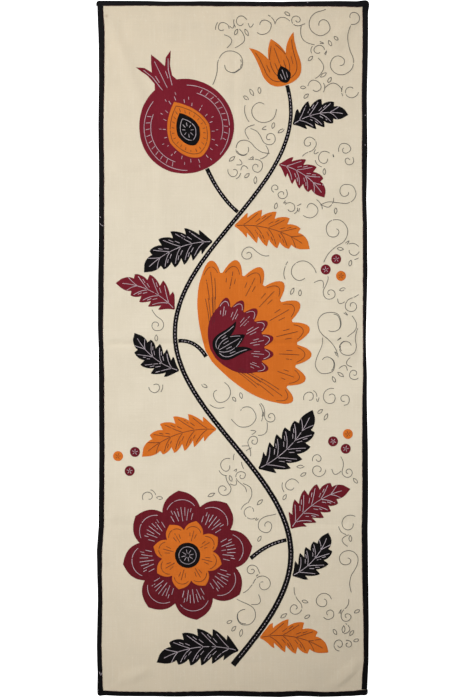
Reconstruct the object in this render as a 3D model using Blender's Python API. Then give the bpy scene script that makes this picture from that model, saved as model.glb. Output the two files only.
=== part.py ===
import math

import bmesh
import bpy
from mathutils import Vector
from mathutils.geometry import delaunay_2d_cdt, tessellate_polygon

# Applique panel lying flat: X across, Y along its length, Z up. Sizes are in millimetres here
# and become metres in the meshes.
MM = 0.001

# cloth
PANEL_WIDTH = 510.0
PANEL_LENGTH = 1320.0
GROUND_THICK = 1.2
PATCH_THICK = 1.0
LAYER_GAP = 0.3
PIECE_GAP = 0.6

# binding: a strip folded over the edge
FOLD_THICK = 1.0
EDGE_GAP = 0.3
BACK_LEG = 9.0
UNDER_LEGS = 12.0
EDGE_LIFT = 1.3
SAG_WIDTH = 17.0
EDGE_REACH = 90.0
UNDER_BEND = 1.0
UPPER_BEND = 1.2
BEND_CUT = 0.35
LEG_ROUND = 0.45
CORNER_OVERLAP = 1.2
CORNER_ROUND = 2.2
CORNER_CLEAR = 12.0
STATION_CLEAR = 4.0

# pressed creases: one along the middle, three across at the quarters
LONG_CREASE_X = 2.5
CROSS_CREASES_Y = (-334.0, 8.0, 335.0)
CREASE_HALF = 17.0
CREASE_FADE = 60.0
CREASE_HEIGHT = 1.5

# spacing of the ground's rows and columns, and how outlines are cut from them
CELL = 30.0
CELL_SLACK = 0.3
INSIDE_ONLY = 1
MERGE_NEAR = 0.02

# measured edges, from the panel's middle outwards: position along the side, outer edge, strip width
SIDE_ROWS = (
    {"y": 645.0, "left": 256.6, "left_wide": 10.0, "right": 256.8, "right_wide": 10.2},
    {"y": 597.0, "left": 254.7, "left_wide": 10.2, "right": 256.6, "right_wide": 9.6},
    {"y": 540.0, "left": 253.9, "left_wide": 9.5, "right": 255.5, "right_wide": 9.6},
    {"y": 483.0, "left": 254.3, "left_wide": 9.3, "right": 253.8, "right_wide": 9.0},
    {"y": 426.0, "left": 254.9, "left_wide": 8.9, "right": 254.7, "right_wide": 9.6},
    {"y": 369.0, "left": 254.3, "left_wide": 9.2, "right": 254.7, "right_wide": 9.6},
    {"y": 312.0, "left": 254.5, "left_wide": 9.2, "right": 253.6, "right_wide": 8.2},
    {"y": 255.0, "left": 254.5, "left_wide": 9.0, "right": 254.3, "right_wide": 8.0},
    {"y": 198.0, "left": 254.5, "left_wide": 9.3, "right": 254.9, "right_wide": 7.9},
    {"y": 141.0, "left": 255.5, "left_wide": 10.0, "right": 254.3, "right_wide": 7.2},
    {"y": 84.0, "left": 256.0, "left_wide": 9.4, "right": 253.4, "right_wide": 6.4},
    {"y": 27.0, "left": 255.1, "left_wide": 8.6, "right": 252.2, "right_wide": 6.0},
    {"y": -30.0, "left": 254.5, "left_wide": 9.6, "right": 253.9, "right_wide": 7.0},
    {"y": -87.0, "left": 254.7, "left_wide": 8.8, "right": 253.8, "right_wide": 7.6},
    {"y": -144.0, "left": 254.1, "left_wide": 9.4, "right": 255.3, "right_wide": 9.8},
    {"y": -201.0, "left": 253.8, "left_wide": 9.8, "right": 256.8, "right_wide": 10.4},
    {"y": -258.0, "left": 254.1, "left_wide": 9.0, "right": 256.4, "right_wide": 10.0},
    {"y": -315.0, "left": 254.5, "left_wide": 9.0, "right": 255.3, "right_wide": 10.4},
    {"y": -343.0, "left": 256.6, "left_wide": 9.4, "right": 256.1, "right_wide": 10.6},
    {"y": -372.0, "left": 257.9, "left_wide": 9.4, "right": 256.4, "right_wide": 10.8},
    {"y": -429.0, "left": 256.8, "left_wide": 8.2, "right": 256.4, "right_wide": 11.0},
    {"y": -486.0, "left": 255.8, "left_wide": 8.4, "right": 257.7, "right_wide": 9.8},
    {"y": -543.0, "left": 257.9, "left_wide": 8.8, "right": 257.4, "right_wide": 9.4},
    {"y": -600.0, "left": 256.8, "left_wide": 8.8, "right": 256.2, "right_wide": 10.0},
    {"y": -645.0, "left": 256.8, "left_wide": 9.6, "right": 254.7, "right_wide": 10.0},
)
END_ROWS = (
    {"x": -250.0, "top": 661.07, "top_wide": 9.2, "bottom": 658.7, "bottom_wide": 9.2},
    {"x": -164.0, "top": 660.2, "top_wide": 9.0, "bottom": 659.9, "bottom_wide": 8.2},
    {"x": -107.0, "top": 659.5, "top_wide": 8.2, "bottom": 660.1, "bottom_wide": 8.6},
    {"x": -22.0, "top": 659.3, "top_wide": 8.6, "bottom": 659.5, "bottom_wide": 9.6},
    {"x": 64.0, "top": 659.1, "top_wide": 8.4, "bottom": 661.4, "bottom_wide": 9.8},
    {"x": 121.0, "top": 659.5, "top_wide": 9.0, "bottom": 659.7, "bottom_wide": 9.8},
    {"x": 178.0, "top": 659.9, "top_wide": 10.0, "bottom": 660.1, "bottom_wide": 8.6},
    {"x": 250.0, "top": 661.07, "top_wide": 10.4, "bottom": 658.0, "bottom_wide": 9.8},
)

# soft folds where the cloth is dragged: a line, its height and its half width
DRAG_FOLDS = (
    {"x0": -229.0, "y0": 607.0, "x1": -178.0, "y1": 476.0, "high": 2.2, "half": 22.0},
    {"x0": -178.0, "y0": 476.0, "x1": -140.0, "y1": 375.0, "high": 1.8, "half": 24.0},
    {"x0": -140.0, "y0": 375.0, "x1": -132.0, "y1": 210.0, "high": 1.2, "half": 26.0},
    {"x0": 228.0, "y0": 618.0, "x1": 187.0, "y1": 551.0, "high": 2.0, "half": 22.0},
    {"x0": 236.0, "y0": -600.0, "x1": 200.0, "y1": -636.0, "high": 2.2, "half": 20.0},
    {"x0": -190.0, "y0": 608.0, "x1": 150.0, "y1": 602.0, "high": 1.3, "half": 20.0},
    {"x0": -102.0, "y0": -386.0, "x1": -20.0, "y1": -430.0, "high": 1.4, "half": 24.0},
    {"x0": -205.0, "y0": -628.0, "x1": -165.0, "y1": -612.0, "high": 1.6, "half": 16.0},
)

# vine: a wave climbing the panel
VINE_SWING = 110.0
VINE_WAVE = 840.0
VINE_START = -600.0
VINE_END = 500.0
VINE_WIDE_START = 11.0
VINE_WIDE_END = 7.0
VINE_STEPS = 46
STALK_WIDE_START = 7.0
STALK_WIDE_END = 8.0
STALK_STEPS = 5
STALK_FOOT = 1.2

# stalks: where they leave the vine, how far they run straight, and where they end
STALKS = (
    {"name": "stalk_rose", "y": -362.0, "side": -1, "reach": 38.0, "end_x": 33.6, "end_y": -398.0},
    {"name": "stalk_carnation", "y": 14.0, "side": 1, "reach": 34.0, "end_x": -50.8, "end_y": -15.2},
    {"name": "stalk_fruit", "y": 256.0, "side": -1, "reach": 44.0, "end_x": -49.4, "end_y": 341.4},
)

# leaves: where they sit on the vine, side, direction in degrees from straight up, and shape
LEAVES = (
    {"name": "leaf_01", "slot": "black", "y": -578.0, "side": -1, "turn": 72.0,
     "long": 165.0, "wide": 70.0, "bend": -0.9, "teeth": 6, "bite": 0.40},
    {"name": "leaf_02", "slot": "orange", "y": -545.0, "side": 1, "turn": -76.0,
     "long": 140.0, "wide": 64.0, "bend": 0.9, "teeth": 5, "bite": 0.42},
    {"name": "leaf_03", "slot": "black", "y": -430.0, "side": 1, "turn": -66.0,
     "long": 112.0, "wide": 56.0, "bend": -0.9, "teeth": 5, "bite": 0.42},
    {"name": "leaf_04", "slot": "maroon", "y": -345.0, "side": 1, "turn": -30.0,
     "long": 142.0, "wide": 64.0, "bend": 0.9, "teeth": 6, "bite": 0.40},
    {"name": "leaf_05", "slot": "black", "y": -232.0, "side": 1, "turn": -66.0,
     "long": 158.0, "wide": 68.0, "bend": -0.8, "teeth": 6, "bite": 0.40},
    {"name": "leaf_06", "slot": "orange", "y": -150.0, "side": -1, "turn": 84.0,
     "long": 158.0, "wide": 68.0, "bend": -0.9, "teeth": 6, "bite": 0.40},
    {"name": "leaf_07", "slot": "black", "y": -40.0, "side": -1, "turn": 76.0,
     "long": 116.0, "wide": 56.0, "bend": 0.9, "teeth": 5, "bite": 0.42},
    {"name": "leaf_08", "slot": "maroon", "y": 72.0, "side": -1, "turn": 40.0,
     "long": 128.0, "wide": 58.0, "bend": -0.9, "teeth": 5, "bite": 0.42},
    {"name": "leaf_09", "slot": "orange", "y": 236.0, "side": 1, "turn": -84.0,
     "long": 156.0, "wide": 68.0, "bend": 0.8, "teeth": 6, "bite": 0.40},
    {"name": "leaf_10", "slot": "black", "y": 200.0, "side": -1, "turn": 88.0,
     "long": 150.0, "wide": 68.0, "bend": -0.9, "teeth": 6, "bite": 0.40},
    {"name": "leaf_11", "slot": "black", "y": 425.0, "side": 1, "turn": -54.0,
     "long": 112.0, "wide": 56.0, "bend": 0.9, "teeth": 5, "bite": 0.42},
    {"name": "leaf_12", "slot": "maroon", "y": 352.0, "side": 1, "turn": -100.0,
     "long": 112.0, "wide": 54.0, "bend": 0.9, "teeth": 5, "bite": 0.42},
)
LEAF_FOOT = 0.8
LEAF_FIRST = 0.02
LEAF_LAST = 0.93
LEAF_FULLEST = 0.45
LEAF_LEAN = 0.10
LEAF_FOOT_SHARE = 0.16
LEAF_FOOT_POWER = 0.6
LEAF_FULLNESS = 0.8
LEAF_TOOTH_POWER = 0.8
LEAF_TOOTH_STEPS = 2

# round flower
ROSE_X = -86.0
ROSE_Y = -392.0
ROSE_PETALS = 8
ROSE_RADIUS = 118.0
ROSE_NOTCH = 0.20
ROSE_NOTCH_POWER = 2.6
ROSE_POINT_POWER = 3
ROSE_POINT = 0.05
ROSE_TURN = 8.0
RING_RADIUS = 62.0
RING_NOTCH = 0.22
RING_POINT = 0.08
RING_TURN = 30.5
HEART_RADIUS = 24.0
PETAL_STEPS = 3

# fan flower
FAN_X = -46.0
FAN_Y = -14.0
FAN_TURN = -60.0
FAN_RADIUS = 200.0
FAN_SPREAD = 66.0
FAN_TEETH = 9
FAN_BITE = 0.14
FAN_NECK = 12.0
FAN_DROOP = 0.12
FAN_HIP_OUT = 0.5
FAN_HIP_UP = 0.1
LOBE_FROM = 0.10
LOBE_SPAN = 0.80
TOOTH_FROM = 0.05
TOOTH_SPAN = 0.90
MIDDLE_FORWARD = 9.0
MIDDLE_RADIUS = 120.0
MIDDLE_SPREAD = 54.0
MIDDLE_TEETH = 7
MIDDLE_BITE = 0.16
MIDDLE_NECK = 9.0
CUP_FORWARD = 14.0
CUP_LONG = 66.0
CUP_WIDE = 56.0
FAN_STEPS = 4

# fruit
FRUIT_X = -48.0
FRUIT_Y = 338.0
FRUIT_TURN = 26.0
FRUIT_RADIUS = 90.0
CROWN_HIGH = 58.0
CROWN_GAP = 0.26
CROWN = (
    {"out": -0.80, "up": 0.18},
    {"out": -1.02, "up": 0.52},
    {"out": -1.60, "up": 0.94},
    {"out": -0.98, "up": 0.80},
    {"out": -0.60, "up": 0.56},
    {"out": -0.32, "up": 0.84},
    {"out": 0.0, "up": 1.10},
)
FRUIT_SQUASH = 0.05
FRUIT_STEPS = 26
FLESH_FORWARD = 29.0
FLESH_LONG = 116.0
FLESH_WIDE = 82.0
SEED_FORWARD = 53.5
SEED_LONG = 68.0
SEED_WIDE = 44.0

# bud at the vine's end
BUD_TURN = 20.0
BUD_ASIDE = 1.0
BUD_GAP = 1.2
BUD_LONG = 92.0
BUD_WIDE = 80.0
BUD_CUP_FORWARD = 3.6
BUD_CUP_LONG = 34.0
BUD_CUP_WIDE = 26.0

# curve table of a tulip's right half, in shares of half width and length
TULIP_FOOT = 0.14
TULIP_ROWS = (
    {"cx": 0.95, "cy": 0.02, "x": 0.97, "y": 0.42},
    {"cx": 0.96, "cy": 0.74, "x": 1.12, "y": 0.97},
    {"cx": 0.66, "cy": 0.88, "x": 0.44, "y": 0.62},
    {"cx": 0.34, "cy": 0.84, "x": 0.0, "y": 1.0},
)
DROP_FOOT = 0.05
DROP_ROWS = (
    {"cx": 0.75, "cy": 0.06, "x": 1.0, "y": 0.42},
    {"cx": 0.95, "cy": 0.74, "x": 0.0, "y": 1.0},
)
CURVE_STEPS = 4

BERRY_RADIUS = 9.5
BERRIES = (
    {"name": "berry_01", "slot": "maroon", "x": -196.0, "y": -232.0},
    {"name": "berry_02", "slot": "orange", "x": -218.0, "y": -204.0},
    {"name": "berry_03", "slot": "maroon", "x": -186.0, "y": -196.0},
    {"name": "berry_04", "slot": "maroon", "x": 176.0, "y": 150.0},
    {"name": "berry_05", "slot": "orange", "x": 205.0, "y": 138.0},
    {"name": "berry_06", "slot": "maroon", "x": 196.0, "y": 170.0},
    {"name": "berry_07", "slot": "maroon", "x": 190.0, "y": -176.0},
    {"name": "berry_08", "slot": "orange", "x": 218.0, "y": -162.0},
    {"name": "berry_09", "slot": "maroon", "x": 214.0, "y": -190.0},
)
ROUND_STEPS = 16
HEART_STEPS = 24

COLOURS = {
    "ground": (0.724, 0.638, 0.509, 1.0),
    "binding": (0.008, 0.007, 0.008, 1.0),
    "black": (0.012, 0.011, 0.012, 1.0),
    "maroon": (0.180, 0.016, 0.030, 1.0),
    "orange": (0.590, 0.150, 0.022, 1.0),
}
ROUGHNESS = 0.85


def between(value, low, high):
    return max(low, min(high, value))


def smooth(share):
    s = between(share, 0.0, 1.0)
    return s * s * (3.0 - 2.0 * s)


def read_row(rows, key, at, column):
    """Value of a column at a place between the table's rows."""
    ordered = sorted(rows, key=lambda row: row[key])
    if at <= ordered[0][key]:
        return ordered[0][column]
    for low, high in zip(ordered, ordered[1:]):
        if at <= high[key]:
            share = (at - low[key]) / (high[key] - low[key])
            return low[column] + (high[column] - low[column]) * share
    return ordered[-1][column]


def line_distance(x, y, fold):
    dx = fold["x1"] - fold["x0"]
    dy = fold["y1"] - fold["y0"]
    share = ((x - fold["x0"]) * dx + (y - fold["y0"]) * dy) / (dx * dx + dy * dy)
    share = between(share, 0.0, 1.0)
    return math.hypot(x - fold["x0"] - share * dx, y - fold["y0"] - share * dy)


def crease_height(away):
    """Zero in the crease, a low shoulder beside it, flat further off."""
    if away < CREASE_HALF:
        return CREASE_HEIGHT * smooth(away / CREASE_HALF)
    return CREASE_HEIGHT * (1.0 - smooth((away - CREASE_HALF) / CREASE_FADE))


def cloth_height(x, y):
    """Height of the underside of the ground cloth."""
    high = crease_height(abs(x - LONG_CREASE_X))
    for crease in CROSS_CREASES_Y:
        high = max(high, crease_height(abs(y - crease)))
    for fold in DRAG_FOLDS:
        away = line_distance(x, y, fold)
        high = max(high, fold["high"] * (1.0 - smooth(away / fold["half"])))
    return high


def edges_at(x, y):
    left = -read_row(SIDE_ROWS, "y", y, "left")
    right = read_row(SIDE_ROWS, "y", y, "right")
    bottom = -read_row(END_ROWS, "x", x, "bottom")
    top = read_row(END_ROWS, "x", x, "top")
    return left, right, bottom, top


def spaced(stops, step):
    """Lines between the stops, no further apart than a step."""
    lines = []
    for low, high in zip(stops, stops[1:]):
        count = max(1, math.ceil((high - low) / step - CELL_SLACK))
        lines.extend(low + (high - low) * i / count for i in range(count))
    lines.append(stops[-1])
    return lines


def grid_lines():
    edge_x = PANEL_WIDTH / 2 - FOLD_THICK - EDGE_GAP
    edge_y = PANEL_LENGTH / 2 - FOLD_THICK - EDGE_GAP
    under = UNDER_LEGS
    sag = under + SAG_WIDTH
    xs = [-edge_x, under - PANEL_WIDTH / 2, sag - PANEL_WIDTH / 2]
    xs += [LONG_CREASE_X - CREASE_HALF, LONG_CREASE_X, LONG_CREASE_X + CREASE_HALF]
    xs += [PANEL_WIDTH / 2 - sag, PANEL_WIDTH / 2 - under, edge_x]
    ys = [-edge_y, under - PANEL_LENGTH / 2, sag - PANEL_LENGTH / 2]
    for crease in CROSS_CREASES_Y:
        ys += [crease - CREASE_HALF, crease, crease + CREASE_HALF]
    ys += [PANEL_LENGTH / 2 - sag, PANEL_LENGTH / 2 - under, edge_y]
    return spaced(xs, CELL), spaced(ys, CELL)


def edge_shift(line, half, outer):
    """How far a line follows the measured edge: wholly at the edge, less further in."""
    share = between(1.0 - (half - abs(line)) / EDGE_REACH, 0.0, 1.0)
    return (outer - half) * share


def ground_grid():
    """Points of the ground's underside, row by row, each as x, y and height."""
    xs, ys = grid_lines()
    half_x = PANEL_WIDTH / 2
    half_y = PANEL_LENGTH / 2
    rows = []
    for y_line in ys:
        row = []
        for x_line in xs:
            left, right, bottom, top = edges_at(x_line, y_line)
            x = x_line
            y = y_line
            if x_line < 0:
                x -= edge_shift(x_line, half_x, -left)
            else:
                x += edge_shift(x_line, half_x, right)
            if y_line < 0:
                y -= edge_shift(y_line, half_y, -bottom)
            else:
                y += edge_shift(y_line, half_y, top)
            inward = min(half_x - abs(x_line), half_y - abs(y_line))
            rise = 1.0 - smooth((inward - UNDER_LEGS) / SAG_WIDTH)
            high = cloth_height(x_line, y_line) * (1.0 - rise) + EDGE_LIFT * rise
            row.append((x, y, high))
        rows.append(row)
    return rows


def new_object(name, slot, points, faces):
    """One closed solid from points in millimetres."""
    mesh = bpy.data.meshes.new(name)
    solid = bmesh.new()
    corners = [solid.verts.new((x * MM, y * MM, z * MM)) for x, y, z in points]
    for face in faces:
        solid.faces.new([corners[i] for i in face])
    bmesh.ops.recalc_face_normals(solid, faces=solid.faces)
    solid.to_mesh(mesh)
    solid.free()
    part = bpy.data.objects.new(name, mesh)
    bpy.context.scene.collection.objects.link(part)
    paint = bpy.data.materials.new(name + "_" + slot)
    paint.use_nodes = True
    cloth = paint.node_tree.nodes["Principled BSDF"]
    cloth.inputs["Base Color"].default_value = COLOURS[slot]
    cloth.inputs["Roughness"].default_value = ROUGHNESS
    paint.diffuse_color = COLOURS[slot]
    mesh.materials.append(paint)
    return part


def sheet_solid(name, slot, flat, triangles, low, high):
    """A sheet from flat triangles: its underside, its top and a wall round the rim."""
    count = len(flat)
    points = [(x, y, z) for (x, y), z in zip(flat, low)]
    points += [(x, y, z) for (x, y), z in zip(flat, high)]
    faces = []
    rim = {}
    for a, b, c in triangles:
        faces.append((a + count, b + count, c + count))
        faces.append((c, b, a))
        for edge in ((a, b), (b, c), (c, a)):
            rim[edge] = True
    for a, b in rim:
        if (b, a) not in rim:
            faces.append((a, b, b + count))
            faces.append((a, b + count, a + count))
    return new_object(name, slot, points, faces)


def ground_triangles(rows):
    wide = len(rows[0])
    triangles = []
    for j in range(len(rows) - 1):
        for i in range(wide - 1):
            a = j * wide + i
            triangles.append((a, a + 1, a + wide + 1))
            triangles.append((a, a + wide + 1, a + wide))
    return triangles


def rib_point(length, bend, share, across):
    """A point beside a leaf's curved midrib."""
    angle = bend * share
    x = length / bend * (1.0 - math.cos(angle))
    y = length / bend * math.sin(angle)
    return x + across * math.cos(angle), y - across * math.sin(angle)


def leaf_half_width(wide, share):
    bulge = share ** (math.log(0.5) / math.log(LEAF_FULLEST))
    foot = min(1.0, share / LEAF_FOOT_SHARE) ** LEAF_FOOT_POWER
    return 0.5 * wide * math.sin(math.pi * bulge) ** LEAF_FULLNESS * foot


def leaf_side(row, side):
    points = []
    for tooth in range(row["teeth"]):
        start = LEAF_FIRST + (LEAF_LAST - LEAF_FIRST) * tooth / row["teeth"]
        span = (LEAF_LAST - LEAF_FIRST) / row["teeth"]
        for step in range(LEAF_TOOTH_STEPS + 1):
            u = step / LEAF_TOOTH_STEPS
            share = start + span * (u + LEAF_LEAN * math.sin(math.pi * u))
            rise = max(0.0, math.sin(0.5 * math.pi * u)) ** LEAF_TOOTH_POWER
            swell = 1.0 - row["bite"] * (1.0 - rise) if tooth else 1.0
            away = side * leaf_half_width(row["wide"], share) * swell
            points.append(rib_point(row["long"], row["bend"], share, away))
    return points


def leaf_outline(row):
    tip = rib_point(row["long"], row["bend"], 1.0, 0.0)
    return leaf_side(row, 1) + [tip] + leaf_side(row, -1)[::-1]


def rosette_outline(radius, notch, point):
    points = []
    half = math.pi / ROSE_PETALS
    for petal in range(ROSE_PETALS):
        for step in range(2 * PETAL_STEPS):
            d = step / PETAL_STEPS - 1.0
            dip = notch * abs(d) ** ROSE_NOTCH_POWER
            r = radius * (1.0 - dip + point * (1.0 - abs(d)) ** ROSE_POINT_POWER)
            angle = 2.0 * half * petal + d * half
            points.append((r * math.sin(angle), r * math.cos(angle)))
    return points


def fan_outline(radius, spread, teeth, bite, neck):
    """A fan with a scalloped rim on a narrow neck."""
    low = math.sin(LOBE_FROM * math.pi)
    rim = []
    for tooth in range(teeth):
        for step in range(FAN_STEPS + 1):
            u = step / FAN_STEPS
            lobe = math.sin(math.pi * (LOBE_FROM + LOBE_SPAN * u))
            angle = spread * (2.0 * (tooth + TOOTH_FROM + TOOTH_SPAN * u) / teeth - 1.0)
            r = radius * (1.0 - bite * (1.0 - lobe) / (1.0 - low))
            r *= 1.0 - FAN_DROOP * (angle / spread) ** 2
            rim.append((r * math.sin(angle), r * math.cos(angle)))
    left = fan_side(rim[0], radius, neck, -1)
    right = fan_side(rim[-1], radius, neck, 1)
    return [(-neck, 0.0)] + left + rim + right[::-1] + [(neck, 0.0)]


def bent(start, middle, end, u):
    """A point on the curve from start to end that leans towards middle."""
    rest = 1.0 - u
    x = rest * rest * start[0] + 2.0 * u * rest * middle[0] + u * u * end[0]
    y = rest * rest * start[1] + 2.0 * u * rest * middle[1] + u * u * end[1]
    return x, y


def fan_side(end, radius, neck, sign):
    count = FAN_STEPS + 2
    start = (sign * neck, 0.0)
    hip = (sign * radius * FAN_HIP_OUT, radius * FAN_HIP_UP)
    return [bent(start, hip, end, step / count) for step in range(1, count)]


def curve_outline(length, wide, foot, rows):
    """Both halves of a shape whose right half is a chain of curves."""
    half = wide / 2
    side = [(foot * half, 0.0)]
    for row in rows:
        start = side[-1]
        middle = (row["cx"] * half, row["cy"] * length)
        end = (row["x"] * half, row["y"] * length)
        side += [bent(start, middle, end, step / CURVE_STEPS) for step in range(1, CURVE_STEPS + 1)]
    return side + [(-x, y) for x, y in side[:-1]][::-1]


def tulip_outline(length, wide):
    return curve_outline(length, wide, TULIP_FOOT, TULIP_ROWS)


def drop_outline(length, wide):
    return curve_outline(length, wide, DROP_FOOT, DROP_ROWS)


def disc_outline(radius, steps):
    turns = [2.0 * math.pi * i / steps for i in range(steps)]
    return [(radius * math.sin(turn), radius * math.cos(turn)) for turn in turns]


def fruit_outline():
    points = []
    for step in range(FRUIT_STEPS + 1):
        angle = CROWN_GAP + (2.0 * math.pi - 2.0 * CROWN_GAP) * step / FRUIT_STEPS
        squash = 1.0 + FRUIT_SQUASH * math.cos(angle)
        x = FRUIT_RADIUS * math.sin(angle)
        y = FRUIT_RADIUS * (1.0 + math.cos(angle) * squash)
        points.append((x, y))
    x0, y0 = points[0]
    left = [(x0 * row["out"], y0 + CROWN_HIGH * row["up"]) for row in CROWN]
    return points + left + [(-x, y) for x, y in left[:-1]][::-1]


def placed(points, x, y, turn):
    c = math.cos(math.radians(turn))
    s = math.sin(math.radians(turn))
    return [(x + px * c - py * s, y + px * s + py * c) for px, py in points]


def forward(x, y, turn, away):
    return placed([(0.0, away)], x, y, turn)[0]


def ribbon_outline(path, wide_start, wide_end):
    left = []
    right = []
    last = len(path) - 1
    for i, (x, y) in enumerate(path):
        ax, ay = path[max(i - 1, 0)]
        bx, by = path[min(i + 1, last)]
        run = math.hypot(bx - ax, by - ay)
        half = (wide_start + (wide_end - wide_start) * i / last) / 2
        nx = -(by - ay) / run * half
        ny = (bx - ax) / run * half
        left.append((x + nx, y + ny))
        right.append((x - nx, y - ny))
    return right + left[::-1]


def vine_x(y):
    return VINE_SWING * math.sin(2.0 * math.pi * (y - VINE_START) / VINE_WAVE)


def vine_side(y, side, gap):
    """A point beside the vine at a height: its own edge plus a gap."""
    slope = 2.0 * math.pi / VINE_WAVE
    dx = VINE_SWING * slope * math.cos(slope * (y - VINE_START))
    run = math.hypot(dx, 1.0)
    share = (y - VINE_START) / (VINE_END - VINE_START)
    away = (VINE_WIDE_START + (VINE_WIDE_END - VINE_WIDE_START) * share) / 2 + gap
    return vine_x(y) + side * away / run, y - side * away * dx / run


def stalk_path(row):
    """A bent path that leaves the vine squarely and ends at a flower."""
    start = vine_side(row["y"], row["side"], STALK_FOOT)
    middle = vine_side(row["y"], row["side"], row["reach"])
    end = (row["end_x"], row["end_y"])
    return [bent(start, middle, end, step / STALK_STEPS) for step in range(STALK_STEPS + 1)]


def turns_left(points):
    total = 0.0
    for (x0, y0), (x1, y1) in zip(points, points[1:] + points[:1]):
        total += x0 * y1 - x1 * y0
    return total > 0.0


def lay_patch(name, slot, outline, layer, rows, triangles):
    """A patch cut by its outline and laid parallel to the ground cloth, facet by facet."""
    if not turns_left(outline):
        outline = outline[::-1]
    low_x = min(x for x, y in outline) - CELL
    high_x = max(x for x, y in outline) + CELL
    low_y = min(y for x, y in outline) - CELL
    high_y = max(y for x, y in outline) + CELL
    ground = [point for row in rows for point in row]
    near = []
    for triangle in triangles:
        xs = [ground[i][0] for i in triangle]
        ys = [ground[i][1] for i in triangle]
        if max(xs) > low_x and min(xs) < high_x and max(ys) > low_y and min(ys) < high_y:
            near.append(triangle)
    used = sorted({i for triangle in near for i in triangle})
    order = {old: new for new, old in enumerate(used)}
    flat = [Vector(ground[i][:2]) for i in used] + [Vector(point) for point in outline]
    faces = [[order[i] for i in triangle] for triangle in near]
    faces.append(list(range(len(used), len(flat))))
    cut = delaunay_2d_cdt(flat, [], faces, INSIDE_ONLY, MERGE_NEAR, True)
    verts = cut[0]
    cut_faces = cut[2]
    owners = cut[5]
    heights = {}
    kept = []
    for face, owner in zip(cut_faces, owners):
        if len(near) not in owner:
            continue
        facet = [i for i in owner if i < len(near)][0]
        corners = [ground[i] for i in near[facet]]
        for i in face:
            if i not in heights:
                heights[i] = facet_height(corners, verts[i][0], verts[i][1])
        kept.append(tuple(face))
    order = {old: new for new, old in enumerate(sorted(heights))}
    flat = [(verts[i][0], verts[i][1]) for i in sorted(heights)]
    lift = GROUND_THICK + LAYER_GAP + (layer - 1) * (PATCH_THICK + LAYER_GAP)
    low = [heights[i] + lift for i in sorted(heights)]
    high = [z + PATCH_THICK for z in low]
    kept = [tuple(order[i] for i in face) for face in kept]
    return sheet_solid(name, slot, flat, kept, low, high)


def facet_height(corners, x, y):
    """Height of a sloping facet at a point."""
    (x0, y0, z0), (x1, y1, z1), (x2, y2, z2) = corners
    base = (x1 - x0) * (y2 - y0) - (x2 - x0) * (y1 - y0)
    u = ((x - x0) * (y2 - y0) - (x2 - x0) * (y - y0)) / base
    v = ((x1 - x0) * (y - y0) - (x - x0) * (y1 - y0)) / base
    return z0 + u * (z1 - z0) + v * (z2 - z0)


def binding_section(wide):
    """Cross-section of a folded strip: distance in from the outer edge, and height."""
    leg = EDGE_LIFT + GROUND_THICK + LAYER_GAP
    high = leg + FOLD_THICK
    return [
        (BACK_LEG, 0.0),
        (UNDER_BEND, 0.0),
        (0.0, UNDER_BEND),
        (0.0, high - UPPER_BEND),
        (BEND_CUT, high - BEND_CUT),
        (UPPER_BEND, high),
        (wide - LEG_ROUND, high),
        (wide, high - LEG_ROUND),
        (wide, leg),
        (FOLD_THICK, leg),
        (FOLD_THICK, FOLD_THICK),
        (BACK_LEG, FOLD_THICK),
    ]


def swept_strip(name, sections, profile):
    """A solid from equal sections, one after another, closed at both ends."""
    points = [point for section in sections for point in section]
    size = len(profile)
    last = (len(sections) - 1) * size
    faces = []
    for start in range(0, last, size):
        for k in range(size):
            a = start + k
            b = start + (k + 1) % size
            faces.append((a, b, b + size))
            faces.append((a, b + size, a + size))
    for cap in tessellate_polygon([[Vector((e, z, 0.0)) for e, z in profile]]):
        faces.append(tuple(cap))
        faces.append(tuple(last + k for k in cap))
    return new_object(name, "binding", points, faces)


def side_binding(name, side, rows):
    """A strip along a long side, its sections at the ground's own rows."""
    column = "left" if side < 0 else "right"
    corner = side * PANEL_WIDTH / 2
    ends = []
    for end in ("bottom", "top"):
        reach = max(BACK_LEG, read_row(END_ROWS, "x", corner, end + "_wide"))
        ends.append(read_row(END_ROWS, "x", corner, end) - reach - PIECE_GAP)
    stations = [row[0 if side < 0 else -1][1] for row in rows]
    stations = [y for y in stations if STATION_CLEAR - ends[0] < y < ends[1] - STATION_CLEAR]
    stations = [-ends[0]] + stations + [ends[1]]
    sections = []
    for y in stations:
        outer = read_row(SIDE_ROWS, "y", y, column)
        wide = read_row(SIDE_ROWS, "y", y, column + "_wide")
        sections.append([(side * (outer - e), y, z) for e, z in binding_section(wide)])
    return swept_strip(name, sections, binding_section(BACK_LEG))


def end_binding(name, side, rows):
    """A strip along a short side, covering the ends of the long strips."""
    column = "bottom" if side < 0 else "top"
    line = rows[0] if side < 0 else rows[-1]
    y_line = line[0][1]
    left = -read_row(SIDE_ROWS, "y", y_line, "left") - CORNER_OVERLAP
    right = read_row(SIDE_ROWS, "y", y_line, "right") + CORNER_OVERLAP
    corner = ((0.0, CORNER_ROUND), (CORNER_ROUND * BEND_CUT, CORNER_ROUND * BEND_CUT), (CORNER_ROUND, 0.0))
    stations = [(left + along, cut) for along, cut in corner]
    stations += [(x, 0.0) for x, y, z in line if left + CORNER_CLEAR < x < right - CORNER_CLEAR]
    stations += [(right - along, cut) for along, cut in corner[::-1]]
    sections = []
    for x, cut in stations:
        outer = read_row(END_ROWS, "x", x, column) - cut
        wide = read_row(END_ROWS, "x", x, column + "_wide") - cut
        section = []
        for e, z in binding_section(wide):
            inward = BACK_LEG - cut if e == BACK_LEG else e
            section.append((x, side * (outer - inward), z))
        sections.append(section)
    return swept_strip(name, sections, binding_section(BACK_LEG))


def clear_scene():
    for old in list(bpy.data.objects):
        bpy.data.objects.remove(old, do_unlink=True)
    for old in list(bpy.data.meshes):
        bpy.data.meshes.remove(old)


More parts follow.
